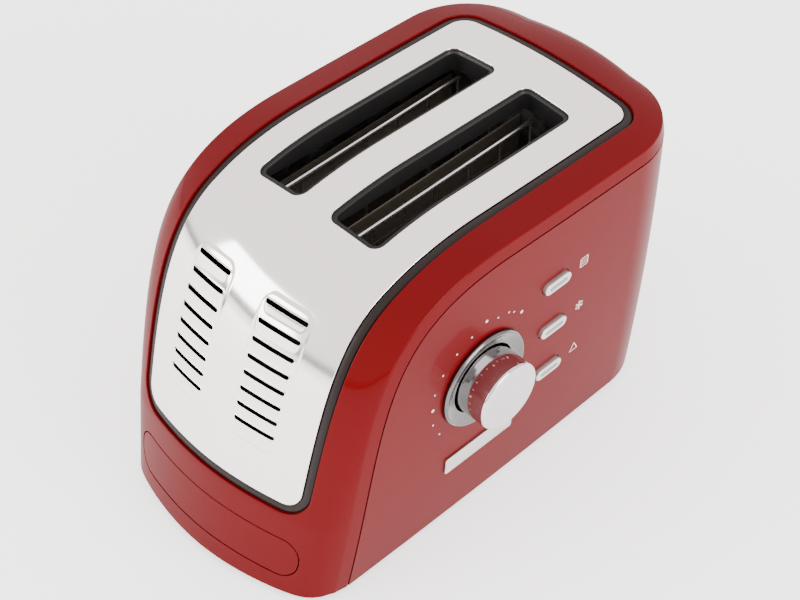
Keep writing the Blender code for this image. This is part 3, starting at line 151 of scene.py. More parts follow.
class Finish(Nodes):
    """One material: its fixed values sit on the shader, and nodes vary the rest."""

    def __init__(self, name, colour, **fixed):
        self.material = bpy.data.materials.new(name)
        self.material.use_nodes = True
        super().__init__(self.material.node_tree)
        self.shader = self.tree.nodes["Principled BSDF"]
        self.set("Base Color", colour)
        for socket, value in fixed.items():
            self.set(socket.replace("_", " ").title().replace("Ior", "IOR"), value)

    def set(self, socket, value):
        """Give one of the shader's sockets a value or a link."""
        self.plug(self.shader.inputs[socket], value)

    def place(self, stretch=(1, 1, 1)):
        """Where a point is on the piece, in metres, stretched along each axis."""
        here = self.value("ShaderNodeTexCoord", {}, {}, "Object")
        return self.value("ShaderNodeMapping", {"vector_type": "POINT"}, {"Vector": here, "Scale": stretch})

    def noise(self, scale, stretch=(1, 1, 1), detail=3.0, roughness=0.5):
        return self.value("ShaderNodeTexNoise", {}, {"Vector": self.place(stretch), "Scale": scale,
                                                     "Detail": detail, "Roughness": roughness})

    def bump(self, height, distance, strength=1.0):
        """Raise the surface by the height, 0 to 1, times a distance in metres."""
        self.set("Normal", self.value("ShaderNodeBump", {}, {"Height": height, "Distance": distance,
                                                             "Strength": strength}))


def plane(name, size, place):
    mesh = bpy.data.meshes.new(name)
    half = size / 2
    mesh.from_pydata([(-half, -half, 0), (half, -half, 0), (half, half, 0), (-half, half, 0)], [],
                     [(0, 1, 2, 3)])
    made = bpy.data.objects.new(name, mesh)
    made.location = place
    bpy.context.scene.collection.objects.link(made)
    return made


floor = plane("floor", 30.0, (0, 0, 0))
floor_finish = Finish("pale_floor", (0.90, 0.895, 0.885), roughness=0.7, specular_ior_level=0.1,
                      emission_color=(1.0, 0.995, 0.985), emission_strength=1.3)
floor_finish.set("Base Color", floor_finish.blend(floor_finish.noise(3.0), (0.91, 0.905, 0.90),
                                                  (0.89, 0.885, 0.875)))
floor.data.materials.append(floor_finish.material)

room = bpy.data.worlds.new("studio")
room.use_nodes = True
walls = Nodes(room.node_tree)
direction = walls.value("ShaderNodeTexCoord", {}, {}, "Generated")
height = walls.value("ShaderNodeSeparateXYZ", {}, {"Vector": direction}, "Z")
wall_colour = walls.blend(walls.band(height, 0.02, 0.10), (0.16, 0.155, 0.155), (0.92, 0.86, 0.85))
background = room.node_tree.nodes["Background"]
walls.plug(background.inputs["Color"], wall_colour)
background.inputs["Strength"].default_value = 2.5
bpy.context.scene.world = room


def window(name, place, target, width, height, power, colour=(1.0, 1.0, 1.0)):
    """Soft box of light that looks at a target."""
    data = bpy.data.lights.new(name, "AREA")
    data.shape = "RECTANGLE"
    data.size = width
    data.size_y = height
    data.energy = power
    data.color = colour
    made = bpy.data.objects.new(name, data)
    bpy.context.scene.collection.objects.link(made)
    made.location = place
    made.rotation_euler = (Vector(target) - Vector(place)).to_track_quat("-Z", "Y").to_euler()


window("front_window", (-1.10, -1.75, 0.80), (0, 0, 0.15), 1.7, 0.95, 42.0)
window("right_window", (1.60, 0.10, 0.75), (0, 0, 0.10), 1.0, 0.9, 30.0)


# Red cover: one pressed sheet of enamelled steel that arches over the front and the top, crowned
# across, and is folded down along the crease to meet the side mouldings at a fine seam.
FRONT_FOOT_Y = 0.0014
FRONT_LEAN = math.radians(10.3)
ARCH_DEPTH = 0.1241
FRONT_PULL = 0.1212
TOP_PULL = 0.1081
TOP_FALL = math.radians(2.06)
CREASE_HEIGHT = 0.1883
HALF_WIDTH = 0.0885
BODY_LENGTH = 0.2800
CROWN_RISE = 0.0091
FRONT_BOW = 0.0168
SHOULDER_BOW = 0.0069
CORNER_ROUND = 0.0148
CORNER_ROUND_REACH = 0.193
CORNER_ROUND_START = 0.050
BASE_TUCK = 0.0085
SIDE_BOW = 0.0015
REAR_RADIUS = 0.050
REAR_BOW = 0.0025
REAR_DROP = 0.0090
SEAM_DROP = 0.0085
SEAM_STEP = 0.0015
BOW_POWER = 1.93
ROUND_POWER = 17
SHEET = 0.0020
GAP = 0.0003
STEP = 0.0001
CORNER_START_Y = BODY_LENGTH - REAR_RADIUS


def profile_table():
    """Arc length, y, z and outward normal along the crease."""
    start = np.array((FRONT_FOOT_Y, 0.0))
    lean = np.array((math.sin(FRONT_LEAN), math.cos(FRONT_LEAN)))
    fall = np.array((math.cos(TOP_FALL), -math.sin(TOP_FALL)))
    end = np.array((ARCH_DEPTH, CREASE_HEIGHT))
    first, second = start + FRONT_PULL * lean, end - TOP_PULL * fall
    t = np.linspace(0.0, 1.0, 1200)[:, None]
    curve = (1 - t) ** 3 * start + 3 * t * (1 - t) ** 2 * first + 3 * t ** 2 * (1 - t) * second + t ** 3 * end
    points = np.vstack([start - lean * 0.012, curve, end + fall * 0.175])
    arc = np.concatenate([[0.0], np.cumsum(np.linalg.norm(np.diff(points, axis=0), axis=1))]) - 0.012
    along = np.gradient(points, arc, axis=0)
    along[0], along[-1] = lean, fall
    along /= np.linalg.norm(along, axis=1)[:, None]
    return arc, points[:, 0], points[:, 1], -along[:, 1], along[:, 0]


ARC, PROFILE_Y, PROFILE_Z, NORMAL_Y, NORMAL_Z = profile_table()
CORNER_ARC = float(np.interp(CORNER_START_Y, PROFILE_Y, ARC))
TOP_END = CORNER_ARC + REAR_RADIUS * math.pi / 2


def side_x(y, z, grow=0.0):
    """Half width of the housing, which tucks in to the base and bows along its length."""
    tuck = BASE_TUCK * np.maximum(0.0, 1 - z / CREASE_HEIGHT) ** 2
    return HALF_WIDTH - tuck - SIDE_BOW * ((y - BODY_LENGTH / 2) / (BODY_LENGTH / 2)) ** 2 + grow


REAR_HALF = float(side_x(CORNER_START_Y, CREASE_HEIGHT)) - REAR_RADIUS


def rear_bow(x):
    return REAR_BOW * (1 - np.minimum(np.abs(x) / REAR_HALF, 1.0) ** 2)


def crown(arc, across):
    """Points on the crowned front and top, from a length along the crease and a place across."""
    y, z, ny, nz = (np.interp(arc, ARC, values) for values in (PROFILE_Y, PROFILE_Z, NORMAL_Y, NORMAL_Z))
    share = np.minimum(np.abs(across) / HALF_WIDTH, 1.0)
    front, top = ny ** 2, nz ** 2
    foot = np.maximum(0.0, 1 - np.maximum(arc, CORNER_ROUND_START) / CORNER_ROUND_REACH)
    bow = CROWN_RISE * top + FRONT_BOW * front + 4 * SHOULDER_BOW * front * top
    offset = bow * (1 - share ** BOW_POWER) + CORNER_ROUND * foot * (1 - share ** ROUND_POWER)
    back = np.clip((y - CORNER_START_Y) / REAR_RADIUS, 0.0, 1.0)
    drop = REAR_DROP * (1 - np.sqrt(1 - back * back))
    return np.stack([across * side_x(y, z) / HALF_WIDTH, y + ny * offset, z + nz * offset - drop], -1)


def cover_point(length, across):
    """Points on the cover. The length goes along the crease and on round the rear corner."""
    length, across = np.broadcast_arrays(np.asarray(length, float), np.asarray(across, float))
    theta = np.clip((length - CORNER_ARC) / REAR_RADIUS, 0.0, math.pi / 2)
    plan_x = (REAR_HALF + REAR_RADIUS * np.cos(theta)) * across / HALF_WIDTH
    plan_y = CORNER_START_Y + REAR_RADIUS * np.sin(theta)
    raised = crown(np.interp(plan_y, PROFILE_Y, ARC), plan_x * HALF_WIDTH / side_x(plan_y, CREASE_HEIGHT))
    rear = np.stack([plan_x, plan_y + np.sin(theta) * rear_bow(plan_x), raised[..., 2]], -1)
    return np.where((theta > 0)[..., None], rear, crown(length, across))


def facing(point, length, across):
    """Outward direction of a surface given as a function of two places."""
    along = point(length + STEP, across) - point(length - STEP, across)
    sideways = point(length, across + STEP) - point(length, across - STEP)
    normal = np.cross(sideways, along)
    return normal / np.linalg.norm(normal, axis=-1)[..., None]


def rounded_loop(low, high, left, right, radius, spacing=0.002, steps=8):
    """Counter clockwise rectangle with rounded corners, as places in two directions."""
    radius = min(radius, (high - low) / 2, (right - left) / 2)
    corners = ((high, right, 0.0), (low, right, 0.5), (low, left, 1.0), (high, left, 1.5))
    points = []
    for index, (u, v, turn) in enumerate(corners):
        cu = u - radius if u == high else u + radius
        cv = v - radius if v == right else v + radius
        for step in range(steps + 1):
            angle = (turn + 0.5 * step / steps) * math.pi
            points.append((cu + radius * math.cos(angle), cv + radius * math.sin(angle)))
    return evened(points, spacing)


def evened(points, spacing):
    """Closed loop with points added on its long runs."""
    filled = []
    for start, end in zip(points, points[1:] + points[:1]):
        run = math.dist(start, end)
        if run < 1e-7:
            continue
        count = max(1, round(run / spacing))
        filled += [(start[0] + (end[0] - start[0]) * k / count, start[1] + (end[1] - start[1]) * k / count)
                   for k in range(count)]
    return filled


def inside(loop, places):
    """Which places lie inside a closed loop."""
    found = np.zeros(len(places), bool)
    x, y = places[:, 0], places[:, 1]
    for (x1, y1), (x2, y2) in zip(loop, loop[1:] + loop[:1]):
        if y1 != y2:
            crossing = (y1 > y) != (y2 > y)
            found ^= crossing & (x < (x2 - x1) * (y - y1) / (y2 - y1) + x1)
    return found


class Skin:
    """Points with the way they face, and faces, gathered into one mesh."""

    def __init__(self):
        self.points = []
        self.normals = []
        self.faces = []

    def add(self, points, normals):
        first = len(self.points)
        self.points += [tuple(point) for point in np.asarray(points, float)]
        self.normals += [tuple(normal) for normal in np.asarray(normals, float)]
        return list(range(first, len(self.points)))

    def band(self, first, second, closed=True):
        count = len(first)
        for index in range(count if closed else count - 1):
            after = (index + 1) % count
            self.faces.append((first[index], first[after], second[after], second[index]))

    def fill(self, point, outline, holes, grids, side=1):
        """Fine triangles over an outline with holes. Returns the corners of each loop."""
        loops = [outline] + holes
        edge = [place for loop in loops for place in loop]
        tree = KDTree(len(edge))
        for index, (u, v) in enumerate(edge):
            tree.insert((u, v, 0), index)
        tree.balance()
        inner = []
        for (low, high, left, right), spacing in grids:
            us = np.arange(low + spacing / 2, high, spacing)
            vs = np.arange(left + spacing / 2, right, spacing)
            grid = np.stack(np.meshgrid(us, vs, indexing="ij"), -1).reshape(-1, 2)
            keep = inside(outline, grid)
            for hole in holes:
                keep &= ~inside(hole, grid)
            for other, _ in grids:
                if other != (low, high, left, right) and other[0] >= low and other[1] <= high:
                    keep &= ~((grid[:, 0] > other[0]) & (grid[:, 0] < other[1])
                              & (grid[:, 1] > other[2]) & (grid[:, 1] < other[3]))
            inner += [tuple(place) for place in grid[keep]
                      if tree.find((place[0], place[1], 0))[2] > spacing * 0.45]
        edges, base = [], 0
        for loop in loops:
            edges += [(base + index, base + (index + 1) % len(loop)) for index in range(len(loop))]
            base += len(loop)
        result = delaunay_2d_cdt([Vector(place) for place in edge + inner], edges, [], 0, 1e-9)
        places = np.array([tuple(place) for place in result[0]])
        triangles = np.array([tuple(face) for face in result[2]])
        middles = places[triangles].mean(axis=1)
        keep = inside(outline, middles)
        for hole in holes:
            keep &= ~inside(hole, middles)
        corners = self.add(point(places[:, 0], places[:, 1]),
                           facing(point, places[:, 0], places[:, 1]) * side)
        self.faces += [tuple(corners[index] for index in face) for face in triangles[keep]]
        where = {}
        for index, sources in enumerate(result[3]):
            for source in sources:
                where[source] = corners[index]
        rings, base = [], 0
        for loop in loops:
            rings.append([where[base + index] for index in range(len(loop))])
            base += len(loop)
        return rings

    def rim(self, ring):
        return (np.array([values[index] for index in ring]) for values in (self.points, self.normals))

    def outward(self, ring, hole):
        """Way off the sheet at each point of a closed ring round it, or round a hole in it."""
        points, normals = self.rim(ring)
        along = np.roll(points, -1, axis=0) - np.roll(points, 1, axis=0)
        out = np.cross(along, normals)
        away = ((points - points.mean(axis=0)) * out).sum() > 0
        out *= 1 if away != hole else -1
        return points, normals, out / np.linalg.norm(out, axis=1)[:, None]

    def turn_down(self, ring, radius, depth, hole=False, steps=4, hem=0.0):
        """Round the edge of the sheet at a ring, take it down by a depth and back under by a hem."""
        points, normals, out = self.outward(ring, hole)
        last = ring
        for step in range(1, steps + 1):
            angle = step / steps * math.pi / 2
            lean = out * math.sin(angle) + normals * math.cos(angle)
            place = points + out * radius * math.sin(angle) - normals * radius * (1 - math.cos(angle))
            fresh = self.add(place, lean)
            self.band(last, fresh)
            last = fresh
        low = points + out * radius - normals * (radius + depth)
        fresh = self.add(low, out)
        self.band(last, fresh)
        if hem:
            under = self.add(low, -normals)
            self.band(under, self.add(low - out * hem, -normals))
        return fresh

    def made(self, name, finish, body, *nodes, slot=None):
        """Object with these faces, which rides on a body and stands for the named nodes."""
        points = np.array(self.points)
        normals = np.array(self.normals)
        faces = []
        for face in self.faces:
            corners = points[list(face)]
            flat = np.cross(corners[1] - corners[0], corners[2] - corners[0])
            if len(face) == 4:
                flat = flat + np.cross(corners[2] - corners[0], corners[3] - corners[0])
            faces.append(face if flat @ normals[list(face)].sum(axis=0) >= 0 else tuple(reversed(face)))
        mesh = bpy.data.meshes.new(name)
        mesh.from_pydata((points + np.array(ORIGIN)).tolist(), [], faces)
        mesh.shade_smooth()
        mesh.normals_split_custom_set_from_vertices(normals.tolist())
        mesh.materials.append(finish.material)
        made = bpy.data.objects.new(name, mesh)
        bpy.context.scene.collection.objects.link(made)
        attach(made, body)
        if nodes:
            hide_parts(*nodes)
        return made


red = Finish("red_enamel", (0.12, 0.004, 0.006), metallic=0.15, roughness=0.36, specular_ior_level=0.02,
             coat_weight=0.10, coat_roughness=0.05)
flake = red.noise(2600.0, detail=1.0)
cloud = red.noise(9.0, detail=2.0)
red.set("Base Color", red.blend(flake * 0.5 + cloud * 0.3, (0.080, 0.0010, 0.0020), (0.125, 0.0022, 0.0038)))
red.set("Roughness", 0.32 + flake * 0.12)
red.bump(red.noise(420.0, detail=1.0), 0.00002, 0.35)

TRIM_START = 0.0534
TRIM_HALF = 0.0700
TRIM_RADIUS = 0.0160
TRIM_WIDTH = 0.0050
TRIM_END = float(np.interp(0.2545, PROFILE_Y, ARC))
LIP = 0.0006
TRAY_LOW_Z = 0.0125
TRAY_HIGH_Z = 0.0385
TRAY_HALF = 0.0705
TRAY_RADIUS = 0.0120
TRAY_GAP = 0.0006


def arc_at_height(z, across):
    """Length along the crease at which the crowned front passes a height."""
    lengths = np.linspace(-0.012, ARCH_DEPTH, 2000)
    return np.array([np.interp(z, crown(lengths, place)[:, 2], lengths) for place in np.atleast_1d(across)])


def on_cover(loop):
    """Loop of arc length and place across, with the part behind the rear corner's start converted."""
    found = []
    for arc, across in loop:
        x, y, _ = crown(arc, across)
        if y > CORNER_START_Y:
            theta = math.asin(min(1.0, (y - CORNER_START_Y) / (REAR_RADIUS + rear_bow(x))))
            found.append((CORNER_ARC + REAR_RADIUS * theta,
                          x * HALF_WIDTH / (REAR_HALF + REAR_RADIUS * math.cos(theta))))
        else:
            found.append((arc, across))
    return found


def fold_path():
    """Crease and seam points of the right hand half, from the floor round to the middle of the rear."""
    arcs = np.concatenate([np.linspace(0.0, 0.002, 5), np.arange(0.004, CORNER_ARC, 0.002)])
    y, z, ny, nz = (np.interp(arcs, ARC, values) for values in (PROFILE_Y, PROFILE_Z, NORMAL_Y, NORMAL_Z))
    seam_y, seam_z = y - ny * SEAM_DROP, z - nz * SEAM_DROP
    seam = np.stack([side_x(seam_y, seam_z, SEAM_STEP), seam_y, seam_z], -1)
    places = [(arc, HALF_WIDTH) for arc in arcs]
    crease = cover_point(arcs, np.full(len(arcs), HALF_WIDTH))
    low = seam[:, 2] < 0
    share = np.where(low, crease[:, 2] / np.maximum(crease[:, 2] - seam[:, 2], 1e-9), 1.0)
    seam = crease + (seam - crease) * share[:, None]
    thetas = np.linspace(0.0, math.pi / 2, 34)
    corner = np.array([cover_point(CORNER_ARC + REAR_RADIUS * theta + 1e-9, HALF_WIDTH) for theta in thetas])
    out = np.stack([np.cos(thetas), np.sin(thetas), np.zeros(len(thetas))], -1)
    places += [(CORNER_ARC + REAR_RADIUS * theta, HALF_WIDTH) for theta in thetas]
    corner_seam = corner + out * SEAM_STEP - np.array((0, 0, SEAM_DROP))
    across = np.linspace(HALF_WIDTH, 0.0, 22)[1:]
    rear = cover_point(np.full(len(across), TOP_END), across)
    places += [(TOP_END, place) for place in across]
    rear_seam = rear + np.array((0, SEAM_STEP, -SEAM_DROP))
    return places, np.vstack([crease, corner, rear]), np.vstack([seam, corner_seam, rear_seam])


def cover_skin():
    skin = Skin()
    places, crease, seam = fold_path()
    mirror = np.array((-1, 1, 1))
    places += [(length, -across) for length, across in reversed(places[:-1])]
    crease = np.vstack([crease, crease[-2::-1] * mirror])
    seam = np.vstack([seam, seam[-2::-1] * mirror])
    lengths, acrosses = np.array(places).T
    inward = np.gradient(crease, axis=0)
    nudge_u = np.minimum(lengths, TOP_END - 3 * STEP)
    nudge_a = np.clip(acrosses, 3 * STEP - HALF_WIDTH, HALF_WIDTH - 3 * STEP)
    normal = facing(cover_point, nudge_u, nudge_a)
    inward = np.cross(normal, inward)
    inward /= np.linalg.norm(inward, axis=1)[:, None]
    along = (cover_point(nudge_u + STEP, nudge_a) - cover_point(nudge_u - STEP, nudge_a)) / (2 * STEP)
    sideways = (cover_point(nudge_u, nudge_a + STEP) - cover_point(nudge_u, nudge_a - STEP)) / (2 * STEP)
    theta = np.clip((lengths - CORNER_ARC) / REAR_RADIUS / (math.pi / 2), 0.0, 1.0)
    round_off = 0.0012 - 0.0009 * theta
    outline = []
    for index in range(len(places)):
        pair = np.stack([along[index], sideways[index]], -1)
        shift = np.linalg.lstsq(pair, inward[index] * round_off[index], rcond=None)[0]
        outline.append((max(lengths[index] + shift[0], 0.0), acrosses[index] + shift[1]))
    floor_across = np.linspace(outline[-1][1], outline[0][1], 60)[1:-1]
    floor_line = list(zip(arc_at_height(0.0, floor_across), floor_across))
    fold_count = len(outline)
    outline = outline + [(float(arc), float(across)) for arc, across in floor_line]
    trim_hole = on_cover(rounded_loop(TRIM_START - GAP - LIP, TRIM_END + GAP + LIP, -TRIM_HALF - GAP - LIP,
                                      TRIM_HALF + GAP + LIP, TRIM_RADIUS + GAP + LIP))
    low, high = (float(arc_at_height(z, 0.0)[0]) for z in (TRAY_LOW_Z, TRAY_HIGH_Z))
    room = TRAY_GAP + LIP / 2
    tray_hole = rounded_loop(low - room, high + room, -TRAY_HALF - room, TRAY_HALF + room,
                             TRAY_RADIUS + room)
    whole = (-0.012, TOP_END, -HALF_WIDTH, HALF_WIDTH)
    rings = skin.fill(cover_point, outline, [trim_hole, tray_hole], [(whole, 0.0025)])
    skin.turn_down(rings[1], LIP, 0.0016, hole=True)
    skin.turn_down(rings[2], LIP / 2, 0.0016, hole=True)
    edge = rings[0][:fold_count]
    start, first_normals = skin.rim(edge)
    down = (seam - crease)
    drop = np.linalg.norm(down, axis=1)
    down[0], down[-1] = down[1], down[-2]
    down /= np.linalg.norm(down, axis=1)[:, None]
    reach = crease + down * np.minimum(round_off, drop / 2)[:, None]
    path = np.gradient(crease, axis=0)
    side = np.cross(down, path)
    side *= np.sign((side * (crease - np.array((0, 0.1, 0.08)))).sum(axis=1))[:, None]
    side /= np.linalg.norm(side, axis=1)[:, None]
    last = edge
    for step in range(1, 5):
        t = step / 4
        place = (1 - t) ** 2 * start + 2 * t * (1 - t) * crease + t ** 2 * reach
        lean = first_normals * (1 - t) + side * t
        fresh = skin.add(place, lean / np.linalg.norm(lean, axis=1)[:, None])
        skin.band(last, fresh, closed=False)
        last = fresh
    fresh = skin.add(seam - down * np.minimum(0.0004, drop / 3)[:, None], side)
    skin.band(last, fresh, closed=False)
    under = seam - side * 0.0004
    tip = skin.add(under, down)
    skin.band(fresh, tip, closed=False)
    skin.band(tip, skin.add(seam - side * 0.0020, down), closed=False)
    hem = rings[0][fold_count:]
    hem_points, hem_normals = skin.rim(hem)
    flat = hem_normals * np.array((1, 1, 0))
    skin.band(skin.add(hem_points, [(0, 0, -1)] * len(hem)),
              skin.add(hem_points - flat * 0.0020, [(0, 0, -1)] * len(hem)), closed=False)
    return skin


cover_skin().made("red_cover", red, "housing", "cover", slot="red")

# Crumb tray front: a piece of the same red sheet that closes the foot of the arch flush, with a
# fine even gap all round.
tray_skin = Skin()
tray_low, tray_high = (float(arc_at_height(z, 0.0)[0]) for z in (TRAY_LOW_Z, TRAY_HIGH_Z))
tray_loop = rounded_loop(tray_low + LIP, tray_high - LIP, LIP - TRAY_HALF, TRAY_HALF - LIP, TRAY_RADIUS - LIP)
tray_rings = tray_skin.fill(cover_point, tray_loop, [],
                            [((tray_low, tray_high, -TRAY_HALF, TRAY_HALF), 0.0025)])
tray_skin.turn_down(tray_rings[0], LIP, 0.0014, hem=0.0030)
tray_skin.made("red_tray_front", red, "crumb_drawer", "tray_front", slot="red")

# Trim: a dark moulded gasket that sits in the opening of the cover and frames the steel panel, a
# little below the red and softly crowned across its width.


def crown_at(lift):
    """Surface at a height over the crowned front and top."""
    def point(arc, across):
        arc, across = np.broadcast_arrays(np.asarray(arc, float), np.asarray(across, float))
        return crown(arc, across) + facing(crown, arc, across) * lift
    return point


def moved_in(loop, core, inset):
    """Rounded loop moved in by an inset, from the box that its corners turn about."""
    loop = np.array(loop)
    middle = np.clip(loop, (core[0], core[2]), (core[1], core[3]))
    far = np.linalg.norm(loop - middle, axis=1)[:, None]
    return middle + (loop - middle) * (far - inset) / far


trim_skin = Skin()
outer_loop = rounded_loop(TRIM_START, TRIM_END, -TRIM_HALF, TRIM_HALF, TRIM_RADIUS, spacing=0.002, steps=14)
trim_core = (TRIM_START + TRIM_RADIUS, TRIM_END - TRIM_RADIUS, TRIM_RADIUS - TRIM_HALF,
             TRIM_HALF - TRIM_RADIUS)
section = [(0.0, -0.0042), (0.0, -0.0022), (0.0001, -0.0019), (0.0004, -0.0016)]
section += [(0.0004 + 0.0042 * k / 10, -0.0016 + 0.00035 * math.sin(math.pi * k / 10)) for k in range(1, 10)]
section += [(0.0046, -0.0016), (0.0049, -0.0019), (0.0050, -0.0022), (0.0050, -0.0032)]
previous = None
for number, (inset, lift) in enumerate(section):
    loop = moved_in(outer_loop, trim_core, inset)
    before, after = section[max(number - 1, 0)], section[min(number + 1, len(section) - 1)]
    run, rise = after[0] - before[0], after[1] - before[1]
    size = math.hypot(run, rise)
    near = moved_in(outer_loop, trim_core, inset + STEP)
    up = facing(crown, loop[:, 0], loop[:, 1])
    place = crown(loop[:, 0], loop[:, 1]) + up * lift
    inward = crown(near[:, 0], near[:, 1]) - crown(loop[:, 0], loop[:, 1])
    inward /= np.linalg.norm(inward, axis=1)[:, None]
    fresh = trim_skin.add(place, up * (run / size) - inward * (rise / size))
    if previous:
        trim_skin.band(previous, fresh)
    previous = fresh

dark_trim = Finish("trim_moulding", (0.012, 0.008, 0.007), roughness=0.42, specular_ior_level=0.14)
trim_grain = dark_trim.noise(1800.0, detail=2.0)
dark_trim.set("Base Color", dark_trim.blend(dark_trim.noise(30.0), (0.009, 0.006, 0.0055),
                                            (0.016, 0.011, 0.010)))
dark_trim.set("Roughness", 0.32 + trim_grain * 0.14)
dark_trim.bump(trim_grain, 0.00003, 0.4)
trim_skin.made("dark_trim", dark_trim, "housing", "trim_gasket", slot="trim")

# Steel panel: one sheet of satin stainless steel that follows the arch, with two fields of pressed
# louvres over the bend and two long slots for the bread. Its edge is turned down inside the trim.
PANEL_RECESS = 0.0008
LOUVRE_FIRST = 0.0966
LOUVRE_PITCH = 0.00915
LOUVRE_ROWS = 8
LOUVRE_CENTRE = 0.0279
LOUVRE_LENGTH = 0.0286
LOUVRE_SLIT = 0.0024
LOUVRE_SKIRT = 0.0072
LOUVRE_RISE = 0.0009
FIELD_LOW = 0.0850
FIELD_HIGH = 0.1660
FIELD_HALF = 0.0172
FIELD_RISE = 0.0007
SLOT_CENTRE = 0.0282
SLOT_WIDTH = 0.0354
SLOT_START_Y = 0.0715
SLOT_LENGTH = 0.1495
SLOT_RADIUS = 0.0060
SLOT_LIP = 0.0006


def soft_step(value, low, high):
    share = np.clip((value - low) / (high - low), 0.0, 1.0)
    return share * share * (3 - 2 * share)


def panel_lift(arc, across):
    """Height of the panel over the cover's surface, with its fields and scoops."""
    beside = np.abs(np.abs(across) - LOUVRE_CENTRE)
    middle = (FIELD_LOW + FIELD_HIGH) / 2
    past_arc = np.maximum(np.abs(arc - middle) - (FIELD_HIGH - FIELD_LOW) / 2 + 0.008, 0.0)
    past_side = np.maximum(beside - FIELD_HALF + 0.008, 0.0)
    lift = FIELD_RISE * (1 - soft_step(np.hypot(past_arc, past_side), 0.0062, 0.0080)) - PANEL_RECESS
    for row in range(LOUVRE_ROWS):
        slit = LOUVRE_FIRST + row * LOUVRE_PITCH
        below = slit + LOUVRE_SLIT / 2 - arc
        width = np.sqrt(np.clip(1 - (np.clip(below / LOUVRE_SKIRT, 0, 1)) ** 2, 0, 1))
        reach = LOUVRE_LENGTH / 2 + 0.0010 - 0.0045 * (1 - width)
        end = 1 - soft_step(beside, reach - 0.0034, reach)
        fall = 1 - soft_step(below, 0.0008, LOUVRE_SKIRT)
        over = soft_step(below, -0.0002, 0.0006)
        lift = lift + LOUVRE_RISE * end * fall * over
    return lift


def panel_point(arc, across):
    arc, across = np.broadcast_arrays(np.asarray(arc, float), np.asarray(across, float))
    return crown(arc, across) + facing(crown, arc, across) * panel_lift(arc, across)[..., None]


def slot_loop(side, grow, spacing=0.002):
    low, high = (float(np.interp(y, PROFILE_Y, ARC)) for y in (SLOT_START_Y, SLOT_START_Y + SLOT_LENGTH))
    left, right = side * SLOT_CENTRE - SLOT_WIDTH / 2, side * SLOT_CENTRE + SLOT_WIDTH / 2
    return rounded_loop(low - grow, high + grow, left - grow, right + grow, SLOT_RADIUS + grow, spacing, 10)


panel_skin = Skin()
edge_inset = TRIM_WIDTH + GAP + LIP
panel_loop = rounded_loop(TRIM_START + edge_inset, TRIM_END - edge_inset, edge_inset - TRIM_HALF,
                          TRIM_HALF - edge_inset, TRIM_RADIUS - edge_inset, spacing=0.002, steps=12)
panel_holes = [slot_loop(side, SLOT_LIP) for side in (-1, 1)]
slit_holes = []
for side in (-1, 1):
    for row in range(LOUVRE_ROWS):
        slit = LOUVRE_FIRST + row * LOUVRE_PITCH
        place = side * LOUVRE_CENTRE
        slit_holes.append(rounded_loop(slit - LOUVRE_SLIT / 2, slit + LOUVRE_SLIT / 2,
                                       place - LOUVRE_LENGTH / 2, place + LOUVRE_LENGTH / 2,
                                       LOUVRE_SLIT / 2, 0.0006, 5))
grids = [((TRIM_START, TRIM_END, -TRIM_HALF, TRIM_HALF), 0.0024)]
grids += [((FIELD_LOW - 0.002, FIELD_HIGH + 0.002, side * LOUVRE_CENTRE - FIELD_HALF - 0.002,
            side * LOUVRE_CENTRE + FIELD_HALF + 0.002), 0.0006) for side in (-1, 1)]
panel_rings = panel_skin.fill(panel_point, panel_loop, panel_holes + slit_holes, grids)
panel_skin.turn_down(panel_rings[0], LIP, 0.0012)
for ring in panel_rings[1:3]:
    panel_skin.turn_down(ring, SLOT_LIP, 0.0010, hole=True)
for ring in panel_rings[3:]:
    panel_skin.turn_down(ring, 0.00015, 0.0003, hole=True, steps=2)

steel = Finish("satin_steel", (0.86, 0.83, 0.81), metallic=1.0, roughness=0.11)
grain = steel.noise(900.0, stretch=(0.03, 1.0, 1.0), detail=4.0, roughness=0.7)
smudge = steel.noise(14.0, detail=3.0)
steel.set("Base Color", steel.blend(grain * 0.6 + smudge * 0.3, (0.84, 0.81, 0.79), (0.90, 0.875, 0.85)))
steel.set("Roughness", 0.08 + grain * 0.04 + smudge * 0.04)
steel.bump(grain, 0.000004, 0.4)
panel_skin.made("steel_panel", steel, "housing", "top_panel", slot="steel")

# Slot collars: black mouldings under the panel. Each shows a narrow ledge inside the steel edge,
# and a throat that guides the bread down between the wires.
LEDGE = 0.0026
THROAT_DEPTH = 0.0140


def side_frame(y, z):
    """Frame on the right hand side: Z points out, X runs back and Y runs up."""
    place = Vector((float(side_x(y, z, SEAM_STEP)), y, z))
    back = Vector((float(side_x(y + GAP, z) - side_x(y - GAP, z)), 2 * GAP, 0)).normalized()
    up = Vector((float(side_x(y, z + GAP) - side_x(y, z - GAP)), 0, 2 * GAP)).normalized()
    out = back.cross(up).normalized()
    return Matrix.Translation(place) @ Matrix((back, out.cross(back), out)).transposed().to_4x4()


